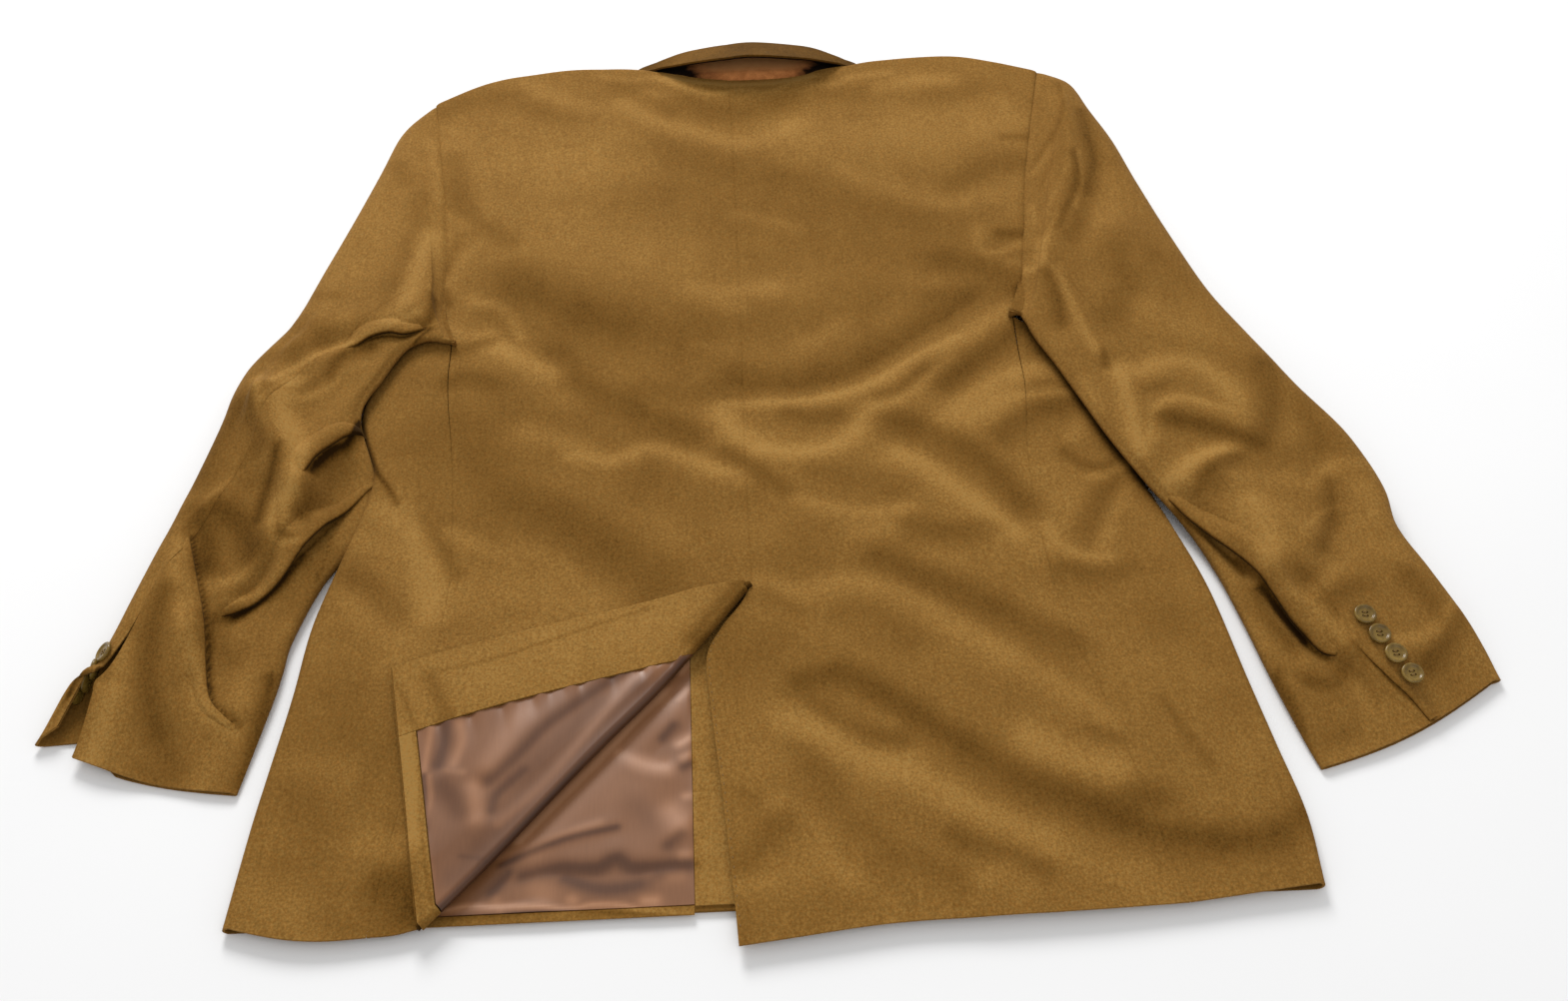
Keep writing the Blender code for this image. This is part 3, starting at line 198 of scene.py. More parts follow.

# %% [markdown]
# ## Strokes that lean to the light
# Suede shows its folds by tone, and that tone is painted light and shade: where the cloth
# leans to the window its colour is painted pale, and where it leans away it is painted
# brown. A stroke is: amount, half-width on its left, half-width on its right, then the
# points that it passes through. Pale strokes, painted highlights, are positive, brown
# ones, painted shade, negative, and below -1 the stroke paints the deep shade of a crease.
# One could sculpt the folds as a height map instead, but a stroke says where a fold is
# in a few numbers, and gives both its height and its painted tone.

# %% Strokes of the body, sleeves and vent
BODY_LEANS = [
    (0.45, 5.5, 5.0, -23.1, 71.9, -16.8, 69.8, -10.9, 69.4),
    (0.4, 4.5, 4.5, -19.0, 63.6, -12.4, 59.7, -6.8, 58.4),
    (0.45, 1.0, 1.2, -17.4, 80.4, -14.5, 78.3, -11.7, 76.9),
    (-0.35, 1.0, 1.2, -24.4, 77.2, -21.5, 78.6, -18.0, 79.3),
    (-0.3, 1.0, 1.2, -17.8, 77.7, -15.8, 76.6, -14.0, 75.7),
    (0.3, 1.5, 1.5, -22.8, 73.3, -21.8, 69.9, -20.8, 66.8),
    (0.85, 0.35, 0.4, -6.3, 80.7, -3.9, 79.0, -1.4, 77.7, 0.9, 78.3, 3.7, 77.9, 5.6, 79.2, 6.9,
     80.1),
    (0.55, 0.45, 0.7, 5.9, 79.2, 7.0, 79.2, 8.9, 78.7, 11.2, 79.9, 14.3, 80.4),
    (0.35, 0.4, 0.4, -11.1, 81.2, -8.5, 80.4, -6.3, 80.7),
    (1.9, 0.35, 0.45, -5.2, 80.7, -2.4, 79.7, 0.7, 79.3, 4.2, 79.4, 7.5, 80.2),
    (-0.5, 0.9, 1.6, -3.5, 77.1, -1.4, 76.0, 0.8, 75.5, 3.1, 76.2, 5.0, 77.1),
    (-0.4, 1.0, 1.2, -9.2, 79.7, -6.7, 77.1, -4.9, 75.9),
    (0.4, 0.5, 0.6, -6.9, 78.6, -5.6, 78.0),
    (0.6, 1.2, 1.4, -8.7, 77.3, -5.9, 74.6, -2.5, 72.8, 0.7, 71.6, 3.0, 72.0, 6.0, 73.8),
    (0.45, 3.5, 3.5, 5.1, 73.0, 10.2, 72.0, 16.2, 72.4, 22.2, 72.8),
    (0.35, 1.8, 1.0, 9.0, 67.4, 12.9, 64.7, 16.9, 63.1, 21.9, 63.9),
    (0.5, 1.0, 1.2, 13.2, 78.1, 16.4, 79.2, 19.5, 79.0),
    (-0.35, 1.4, 1.4, 8.9, 78.1, 11.5, 77.5, 13.6, 77.6),
    (-0.3, 1.2, 1.5, 17.9, 76.7, 19.7, 77.4, 21.6, 78.2),
    (0.35, 1.2, 1.2, 23.5, 76.3, 24.5, 73.6),
    (-0.4, 2.0, 3.0, -5.9, 71.6, -0.9, 68.8, 4.8, 66.6, 9.5, 63.8, 15.8, 60.9, 19.6, 58.3),
    (-0.25, 3.0, 3.0, -7.6, 65.6, -3.5, 66.1, 0.6, 65.3),
    (-0.2, 4.0, 5.0, -2.8, 61.4, 5.3, 60.8, 13.2, 58.6),
    (-0.25, 3.0, 3.0, 13.1, 58.1, 17.8, 56.5, 21.4, 53.9),
    (0.35, 0.6, 0.9, 0.3, 63.1, 2.5, 62.4, 5.1, 61.0),
    (-0.2, 1.2, 1.5, 0.8, 58.9, 4.3, 57.3),
    (0.65, 1.2, 1.5, -3.7, 54.5, -0.4, 54.0, 2.7, 54.4),
    (0.5, 1.0, 1.1, -1.8, 53.0, 0.1, 52.3),
    (0.25, 2.5, 2.5, -7.6, 60.9, -3.6, 59.1),
    (0.15, 1.0, 1.0, 12.0, 54.8, 17.5, 54.6),
    (-0.45, 1.3, 1.3, 23.8, 68.5, 21.1, 67.3, 17.9, 65.3),
    (-0.65, 0.45, 0.5, 23.1, 71.1, 25.1, 71.1),
    (-1.0, 0.6, 0.7, 21.3, 59.6, 23.3, 59.5),
    (0.6, 0.5, 0.55, 19.6, 60.2, 19.6, 57.7, 21.1, 57.5, 23.2, 58.7),
    (0.4, 0.4, 0.5, 21.7, 56.3, 22.7, 56.3),
    (-0.75, 1.2, 2.0, 16.6, 57.0, 19.7, 55.8, 22.4, 54.2),
    (-0.4, 1.0, 1.6, 15.0, 52.9, 19.0, 53.5, 22.3, 53.4),
    (0.3, 0.8, 0.8, 23.7, 66.0, 22.5, 61.9),
    (-0.6, 1.0, 1.2, -23.0, 70.6, -22.2, 65.8, -20.7, 63.1, -18.0, 60.4),
    (0.45, 0.5, 0.4, -23.1, 64.1, -21.5, 62.8, -19.7, 61.4),
    (0.45, 0.6, 0.6, -20.1, 61.0, -21.5, 59.1, -22.3, 56.9, -22.8, 55.0),
    (-0.5, 0.4, 0.5, -21.9, 61.6, -22.6, 59.4, -22.9, 57.7),
    (-0.9, 0.4, 0.5, -22.8, 55.4, -22.5, 54.1),
    (0.75, 0.7, 0.6, -20.4, 54.1, -18.8, 53.7, -17.5, 52.3, -16.7, 50.3),
    (0.6, 0.6, 0.8, -22.1, 51.5, -20.6, 50.5, -19.0, 50.9),
    (-0.7, 0.5, 0.8, -23.4, 49.6, -21.3, 49.0, -19.1, 49.9),
    (1.05, 1.2, 1.5, -18.3, 49.2, -16.3, 47.8, -14.5, 46.5),
    (0.35, 1.5, 1.5, -15.1, 45.0, -13.2, 43.6),
    (-0.85, 2.5, 2.0, -17.3, 55.7, -13.8, 53.2, -9.1, 50.3),
    (-0.55, 4.5, 4.0, -12.2, 51.6, -7.6, 49.7, -3.8, 50.0),
    (-0.8, 1.2, 2.0, -13.7, 48.8, -11.4, 45.0, -7.6, 42.4, -4.0, 40.1),
    (-0.5, 2.0, 2.0, -7.6, 43.8, -3.9, 44.1, -0.1, 45.1),
    (0.3, 0.5, 0.8, -3.1, 48.6, -0.9, 48.2),
    (0.25, 0.3, 0.3, -4.6, 44.3, -3.4, 45.1, -2.8, 45.7),
    (-0.75, 0.9, 1.2, -22.0, 45.9, -20.3, 46.1, -18.6, 45.3),
    (-0.6, 2.2, 2.2, -20.7, 42.1, -19.2, 39.1, -17.6, 34.9),
    (-0.4, 3.0, 2.5, -24.4, 40.5, -22.1, 39.4),
    (-0.65, 2.4, 2.6, -16.1, 33.9, -12.9, 32.7, -9.7, 29.6, -6.6, 26.9),
    (0.25, 2.0, 2.0, -13.3, 35.4, -10.4, 34.8),
    (0.22, 1.8, 1.8, -9.0, 32.9, -5.9, 30.6, -3.2, 28.3),
    (0.55, 1.1, 1.2, -16.0, 40.6, -13.8, 39.7, -11.6, 38.6),
    (0.95, 0.8, 1.1, -12.3, 38.2, -9.4, 37.7, -6.9, 38.8, -4.4, 37.8, -2.2, 36.4, -0.6, 35.7),
    (1.0, 0.45, 0.8, -1.6, 42.9, 1.3, 42.9, 4.6, 42.7, 7.4, 43.4, 10.4, 44.7, 13.6, 47.0, 16.7,
     48.8),
    (0.7, 1.0, 1.5, 15.2, 47.5, 17.7, 49.2, 20.3, 51.2, 21.5, 51.8),
    (1.1, 1.2, 1.3, -1.6, 42.0, -0.5, 39.8, 1.1, 38.2),
    (0.95, 0.9, 1.1, 1.1, 38.0, 3.9, 37.6, 6.7, 38.2, 8.6, 40.1, 9.5, 41.6),
    (-0.7, 0.7, 0.9, 3.3, 41.6, 5.0, 40.9, 6.9, 41.2),
    (0.6, 0.4, 0.6, 9.2, 41.5, 11.6, 42.2, 13.8, 44.2, 15.8, 46.2),
    (-0.55, 0.4, 0.5, 9.9, 42.8, 11.8, 43.6, 13.8, 45.6),
    (-0.75, 2.0, 0.5, -0.5, 44.8, 3.6, 44.3, 7.2, 45.0, 10.2, 46.6, 13.9, 49.4, 18.6, 53.1),
    (0.45, 1.0, 1.1, 5.0, 48.3, 6.3, 49.1, 7.4, 50.2),
    (-0.95, 1.1, 1.3, 21.8, 50.0, 18.6, 47.0, 15.4, 44.0),
    (-0.9, 1.0, 1.0, 22.7, 48.8, 22.9, 47.3),
    (0.8, 1.0, 1.5, 15.6, 41.3, 18.1, 43.4, 21.0, 45.2, 24.3, 45.4),
    (0.7, 1.2, 1.8, 14.7, 40.2, 17.0, 40.7, 19.5, 42.4),
    (0.7, 0.35, 0.45, 19.8, 42.2, 22.1, 42.4, 24.3, 42.8),
    (-0.5, 0.4, 0.4, 21.9, 43.6, 24.0, 43.9),
    (-0.95, 1.1, 1.4, 10.3, 40.5, 13.2, 39.5, 15.9, 37.3, 18.1, 34.9, 19.5, 32.1),
    (-0.8, 0.9, 1.3, 18.6, 38.6, 21.1, 40.6, 24.7, 41.9),
    (1.0, 1.0, 1.5, 11.5, 37.2, 13.8, 35.1, 15.8, 32.8, 18.5, 29.8),
    (0.35, 1.5, 1.5, 17.4, 29.6, 20.0, 28.3),
    (0.6, 0.7, 0.9, 24.0, 38.4, 25.2, 40.2),
    (-0.85, 0.5, 0.6, 23.1, 36.9, 24.4, 35.7, 25.8, 35.5, 27.5, 36.5),
    (0.7, 0.4, 0.6, 24.6, 34.6, 25.9, 34.7, 27.6, 35.8),
    (0.4, 2.0, 2.0, 21.4, 35.2, 22.5, 32.8, 22.4, 30.1),
    (0.85, 0.6, 0.8, 20.9, 30.2, 21.5, 28.3, 23.0, 27.3, 24.6, 27.2),
    (-0.85, 0.9, 0.9, 23.4, 29.7, 25.0, 32.5, 26.6, 34.5),
    (0.55, 0.6, 0.6, 24.5, 28.3, 25.5, 30.5, 26.6, 32.7),
    (-0.5, 0.7, 1.0, 21.1, 26.4, 23.8, 25.8, 26.0, 26.3),
    (0.65, 0.5, 1.0, 3.9, 33.3, 6.1, 32.4, 8.5, 31.9, 11.0, 32.2),
    (0.4, 1.0, 1.2, 7.3, 30.4, 9.8, 30.4),
    (-0.4, 1.3, 1.3, 4.9, 35.9, 7.7, 34.8, 10.8, 34.0),
    (-0.65, 0.9, 1.3, 11.5, 30.5, 14.2, 29.6, 17.1, 30.1),
    (-0.7, 0.6, 1.0, -1.3, 38.0, 0.4, 36.3, 2.7, 34.2),
    (0.25, 1.0, 1.2, 12.3, 27.7, 14.0, 27.3),
    (0.3, 2.0, 2.0, -0.7, 30.8, 1.1, 31.1),
    (-0.75, 1.1, 1.5, 8.9, 27.8, 11.8, 26.1, 15.3, 24.1, 18.4, 21.9, 21.2, 20.3),
    (0.65, 0.9, 1.8, 4.6, 26.0, 8.4, 25.8, 11.3, 24.2, 14.3, 21.6, 16.8, 19.7),
    (0.5, 0.9, 1.5, 16.1, 19.9, 19.1, 17.5, 22.2, 14.6),
    (0.5, 0.8, 1.0, 0.5, 26.4, 3.2, 25.3),
    (-0.4, 0.6, 0.8, 1.0, 25.4, 3.1, 23.6),
    (0.2, 1.0, 1.5, 1.7, 23.1, 5.0, 21.2),
    (-0.35, 1.5, 1.6, 6.2, 23.8, 8.4, 23.0, 10.4, 20.8),
    (-0.35, 2.2, 2.0, -1.8, 21.7, -0.2, 20.5),
    (-0.9, 1.0, 1.2, 2.8, 18.3, 5.6, 18.6, 7.9, 17.2, 10.4, 15.0, 13.4, 12.5),
    (-1.0, 1.3, 1.5, 13.4, 12.5, 16.2, 10.2, 19.1, 8.7, 21.4, 7.8, 24.2, 8.1),
    (-0.7, 0.6, 0.8, 3.5, 17.1, 5.3, 15.1, 7.2, 14.0, 9.2, 13.6),
    (0.35, 0.4, 0.5, 5.8, 16.7, 7.2, 15.7, 8.7, 14.9),
    (-1.1, 1.1, 1.4, 21.2, 7.3, 23.6, 6.4, 26.4, 5.5, 29.4, 5.2, 31.7, 5.7, 33.4, 6.9),
    (0.85, 1.3, 1.6, 17.0, 12.9, 19.1, 11.5, 21.9, 10.4),
    (0.5, 0.7, 0.8, 20.5, 16.3, 22.3, 14.3),
    (-0.45, 0.4, 0.5, 21.0, 13.5, 22.9, 12.4),
    (0.95, 1.2, 1.8, 2.1, 15.6, 4.6, 14.1, 6.9, 12.2, 9.3, 11.5),
    (0.85, 1.1, 1.8, 9.3, 10.9, 11.9, 9.3, 14.5, 7.6, 17.1, 6.1),
    (0.4, 1.1, 1.4, 17.0, 5.6, 19.2, 4.4, 22.4, 3.2),
    (0.35, 2.0, 2.0, -1.6, 14.0, 0.9, 12.5),
    (-0.5, 1.0, 1.3, 2.8, 13.0, 4.3, 10.4, 6.0, 7.5, 8.1, 5.3),
    (-0.5, 1.0, 1.3, 6.9, 5.1, 9.5, 4.4, 11.5, 3.5),
    (0.55, 0.9, 1.2, 1.2, 9.5, 2.9, 7.8, 4.0, 5.5, 5.0, 3.9),
    (-0.6, 1.0, 1.2, 1.7, 8.2, 0.2, 6.8, -1.3, 5.2),
    (-0.35, 0.8, 1.2, -2.1, 10.4, -0.7, 9.6),
    (0.45, 0.7, 0.8, -1.9, 4.0, 0.3, 3.9),
    (-0.65, 0.8, 1.0, 11.6, 6.4, 14.2, 5.3, 16.7, 4.0),
    (0.5, 1.0, 1.2, 13.1, 3.6, 14.7, 4.3, 15.7, 3.0),
    (-0.25, 1.0, 1.0, 7.7, 3.8, 9.0, 2.4),
    (-0.2, 1.6, 1.6, -1.4, 2.6, 1.8, 1.8, 5.4, 2.2),
    (-0.6, 0.35, 0.45, 26.1, 15.5, 27.2, 12.9, 28.2, 10.5),
    (-0.2, 1.5, 1.5, 27.8, 21.7, 29.5, 20.1),
    (0.2, 1.8, 1.8, 28.6, 18.9, 30.0, 16.0),
    (-0.3, 1.0, 1.2, 30.5, 15.3, 31.5, 14.3),
    (0.35, 0.8, 0.8, 32.6, 5.4, 32.9, 3.6),
    (-0.3, 5.0, 5.0, -19.5, 43.9, -13.5, 40.7, -7.6, 35.6),
    (-0.25, 5.0, 5.0, -23.5, 37.7, -17.5, 32.8, -10.4, 30.5),
    (-0.35, 3.5, 3.5, 0.1, 50.9, 6.2, 50.8, 11.1, 53.7),
    (-0.3, 3.0, 3.0, 6.8, 59.6, 11.7, 59.8),
    (-0.25, 3.0, 3.0, -2.7, 63.2, 2.1, 61.3, 5.4, 62.6),
    (-0.5, 1.5, 1.5, -18.5, 53.3, -16.1, 51.1),
    (-0.25, 3.0, 3.0, -9.1, 47.4, -3.1, 48.1),
    (-0.6, 1.0, 1.0, -25.8, 36.0, -25.4, 35.1),
    (-0.35, 2.5, 2.5, 2.2, 32.4, 3.4, 28.0),
    (-0.25, 3.0, 3.0, 22.1, 58.9, 18.9, 52.7),
    (0.22, 7.0, 7.0, -18.2, 22.4, -7.6, 20.2),
    (0.22, 7.0, 7.0, 2.1, 5.4, 13.8, 2.7, 22.8, 2.3),
    (0.22, 5.0, 5.0, 31.1, 12.2, 31.8, 4.5),
    (0.35, 2.5, 2.5, -31.7, 3.3, -27.6, 2.7),
    (0.5, 1.5, 1.5, -25.4, 28.7, -23.8, 26.0),
    (0.4, 2.0, 2.0, 19.9, 22.7, 25.2, 18.6),
    (0.3, 2.0, 2.0, -2.4, 15.6, -1.9, 9.7),
    (0.3, 1.5, 1.5, 22.5, 7.5, 24.2, 6.8),
    (0.3, 1.5, 1.5, -31.7, 6.6, -30.7, 4.5),
    (-0.35, 2.0, 2.0, -28.6, 15.4, -26.6, 15.3),
    (-0.3, 2.0, 2.0, -26.7, 5.6, -26.1, 4.9),
    (-0.35, 1.5, 1.5, 4.7, 16.8, 6.5, 15.9),
    (-0.35, 1.2, 1.2, 15.2, 12.9, 15.7, 12.1),
    (-0.35, 1.5, 1.5, 1.7, 22.3, 4.3, 20.5),
    (-0.35, 1.5, 1.5, -2.0, 21.7, -1.1, 19.4),
    (-0.25, 2.0, 2.0, 28.6, 4.0, 30.8, 3.2),
    (0.15, 1.2, 1.2, 27.1, 2.8, 30.2, 3.2),
    (1.05, 1.5, 1.8, -25.2, 34.4, -23.5, 31.8, -22.1, 28.2, -21.5, 24.8),
    (0.6, 1.2, 1.2, -27.1, 31.7, -24.7, 30.3),
    (0.5, 1.0, 1.3, -27.3, 26.2, -25.3, 24.1, -22.8, 22.4),
    (-0.6, 0.9, 1.0, -27.5, 28.6, -25.4, 27.2, -23.6, 25.0),
    (-0.75, 0.6, 0.8, -22.8, 33.4, -21.5, 30.9, -20.1, 28.1),
    (-0.4, 0.8, 1.0, -22.9, 35.0, -21.3, 32.6),
    (0.6, 0.7, 1.1, -20.8, 31.9, -18.7, 30.6, -16.5, 29.4),
    (0.5, 2.6, 2.6, -18.6, 26.7, -14.1, 26.5, -10.3, 24.5),
    (0.45, 1.0, 1.4, -16.0, 30.3, -13.1, 28.6, -10.3, 25.7),
    (0.35, 1.4, 1.4, -23.3, 21.4, -19.5, 22.0, -14.9, 23.2),
    (-0.35, 2.5, 3.0, -27.6, 18.3, -26.3, 15.2, -23.7, 14.7),
    (-0.3, 2.0, 2.0, -29.3, 11.8, -27.1, 8.9),
    (0.3, 1.3, 1.3, -29.0, 14.0, -26.1, 13.1),
    (-0.35, 0.9, 1.0, -30.4, 7.1, -28.1, 6.5),
    # the two darkest strokes here paint shade along the sleeves' inner edges, where they lie over
    # the body
    (-2.2, 0.25, 0.25, -28.1, 42.5, -27.4, 40.0, -26.6, 37.8, -25.6, 36.2, -24.8, 34.7),
    (-2.5, 0.35, 0.85, 22.5, 53.4, 22.9, 49.9, 23.6, 47.4, 24.8, 44.0, 25.8, 40.7, 27.1, 37.3,
     28.7, 33.4, 29.8, 31.3),
    (0.35, 1.0, 1.2, -24.4, 7.7, -22.4, 7.3),
    (-1.05, 1.2, 1.6, -23.1, 4.9, -21.8, 5.1, -21.3, 3.0),
    (0.3, 1.2, 1.2, -31.2, 5.5, -29.9, 3.7),
    (0.2, 0.8, 1.0, -26.2, 6.1, -24.3, 5.5),
    (-0.4, 1.0, 1.0, -26.6, 3.1, -24.9, 2.6),
    (0.25, 1.5, 1.5, -31.9, 4.3, -28.2, 3.4),
]
SLEEVE_LEANS_LEFT = [
    (0.28, 4.5, 4.5, -28.4, 73.1, -29.4, 63.3, -30.5, 56.0),
    (0.95, 1.0, 1.1, -24.3, 61.3, -24.9, 57.0, -25.7, 52.6, -26.6, 50.8),
    (-0.35, 0.7, 0.8, -25.5, 65.9, -25.6, 60.8, -26.3, 56.2, -27.0, 52.8),
    (-0.45, 0.9, 0.9, -28.0, 70.4, -26.7, 67.8),
    (0.5, 0.5, 0.7, -25.2, 73.5, -24.0, 65.8),
    (-0.45, 0.5, 0.6, -32.9, 55.0, -31.0, 54.2),
    (-0.5, 1.0, 1.4, -33.8, 51.6, -31.7, 50.0, -32.9, 48.5),
    (-0.5, 0.8, 1.0, -35.9, 48.4, -33.6, 47.9),
    (-2.4, 0.1, 0.2, -29.0, 48.7, -28.1, 49.4, -26.8, 49.9, -25.4, 49.9, -23.9, 50.7),
    (-1.4, 0.45, 0.25, -23.9, 50.9, -23.4, 51.8, -23.4, 54.0),
    (1.1, 0.45, 0.35, -34.3, 44.4, -33.6, 45.8, -32.4, 46.8, -31.1, 48.4, -29.1, 49.3, -26.4, 50.8,
     -24.5, 52.0),
    (-1.2, 0.45, 0.6, -30.6, 45.9, -30.0, 47.5, -28.9, 48.4, -27.7, 48.9),
    (0.55, 0.3, 0.3, -33.2, 43.1, -31.7, 43.8, -30.4, 44.9, -29.7, 46.2),
    (-0.5, 0.35, 0.4, -33.3, 43.9, -32.2, 44.4, -31.0, 45.7),
    (1.2, 0.45, 0.5, -35.7, 45.6, -34.9, 42.4, -34.1, 40.8, -32.7, 38.6),
    (1.3, 0.9, 0.7, -33.1, 45.1, -33.6, 42.6, -32.9, 40.8, -32.1, 38.9, -31.5, 36.9, -31.5, 34.8,
     -32.3, 33.4, -32.6, 32.0),
    (0.9, 0.3, 0.3, -33.1, 32.6, -32.8, 31.0, -32.1, 30.4, -31.2, 30.7),
    (-1.0, 0.3, 0.25, -32.5, 33.1, -32.3, 31.4, -31.7, 31.0),
    (0.3, 0.6, 0.6, -30.5, 45.9, -27.0, 47.7),
    (-1.5, 0.14, 0.2, -34.6, 41.9, -33.7, 40.1, -32.7, 38.3),
    (-3.0, 0.14, 0.5, -30.8, 36.3, -30.4, 37.4, -29.6, 38.8, -28.7, 39.9, -28.1, 41.8),
    (-1.3, 0.14, 0.7, -30.4, 37.4, -29.5, 38.7, -28.5, 40.1),
    (-1.9, 0.1, 0.25, -28.1, 41.8, -27.3, 43.5, -26.3, 45.6, -25.5, 47.6, -24.6, 49.5, -23.5,
     50.7),
    (-1.2, 0.6, 0.5, -30.6, 36.9, -30.7, 35.3, -30.7, 34.1, -31.1, 32.8),
    (-0.35, 1.2, 1.2, -28.7, 38.0, -29.2, 35.8, -29.2, 33.2),
    (-1.6, 0.5, 0.55, -33.1, 38.1, -33.3, 36.3, -33.8, 34.5, -34.0, 32.5),
    (-1.5, 1.1, 1.3, -38.2, 33.4, -37.4, 31.2, -37.2, 29.2),
    (-1.3, 1.3, 1.4, -36.8, 33.5, -34.9, 32.1, -34.0, 30.1),
    (0.45, 0.6, 0.8, -34.1, 37.2, -35.6, 35.7),
    (-1.1, 1.8, 1.8, -36.6, 42.9, -38.0, 40.3, -38.5, 37.0),
    (-0.8, 1.2, 1.4, -35.2, 41.3, -34.5, 39.0, -35.3, 35.8),
    (0.45, 0.22, 0.3, -33.2, 38.1, -35.7, 36.5, -37.9, 34.2, -39.5, 32.3),
    (0.25, 0.35, 0.35, -39.4, 29.3, -40.8, 26.1, -42.4, 23.5),
    (0.6, 0.5, 0.8, -37.1, 27.8, -35.1, 28.2, -33.4, 29.5, -32.7, 30.2),
    (0.7, 0.3, 0.4, -35.3, 26.4, -33.7, 27.1, -32.3, 28.4, -30.8, 30.1),
    (-0.3, 0.8, 0.8, -36.3, 26.4, -34.3, 27.1),
    (-1.9, 0.1, 0.16, -30.8, 30.1, -29.5, 32.3, -28.3, 34.0, -26.9, 36.3),
    (-3.0, 0.2, 0.36, -35.0, 25.5, -33.2, 26.7, -31.8, 28.2, -30.8, 30.1),
    (-1.0, 0.7, 0.4, -36.4, 24.6, -35.6, 25.1, -34.5, 25.8),
    (-1.2, 0.1, 0.14, -29.1, 32.0, -29.2, 30.2, -29.7, 28.1),
    (-0.5, 0.8, 0.8, -29.1, 30.7, -30.4, 27.4, -31.1, 25.8),
    (-0.5, 0.9, 0.9, -35.7, 23.5, -34.6, 21.8),
    (0.35, 0.8, 0.9, -33.2, 21.0, -33.4, 18.6),
    (-2.2, 0.32, 0.12, -38.4, 31.3, -37.9, 29.4, -37.1, 26.9, -36.4, 24.2, -36.1, 21.9, -35.7,
     19.6),
    (-2.2, 0.3, 0.14, -35.7, 19.8, -35.2, 18.4, -34.3, 17.4, -33.4, 16.7),
    (0.9, 0.45, 0.6, -39.1, 31.1, -38.7, 28.5, -38.0, 25.6, -37.3, 22.9, -36.6, 20.6, -35.9, 18.5,
     -34.7, 17.2, -33.5, 16.5),
    (-1.1, 1.0, 0.9, -39.3, 26.7, -39.7, 23.0, -39.3, 19.3, -38.2, 16.3),
    (-0.7, 1.0, 1.2, -38.2, 16.3, -36.9, 14.0),
    (0.7, 0.6, 0.7, -41.4, 22.8, -41.4, 20.8),
    (1.0, 0.8, 1.0, -41.6, 19.5, -41.9, 16.4, -42.2, 14.9),
    (0.4, 0.8, 0.8, -33.6, 16.2, -34.6, 14.4, -35.4, 12.4),
    (-1.2, 0.3, 0.6, -31.6, 20.2, -32.0, 16.2, -32.7, 12.6),
    (-0.5, 0.8, 0.6, -39.1, 14.0, -37.1, 12.9),
    (0.8, 0.25, 0.25, -43.9, 19.8, -44.3, 18.4, -45.1, 17.2, -45.7, 16.3),
    (-1.6, 0.35, 0.35, -43.6, 19.8, -43.8, 18.1),
]
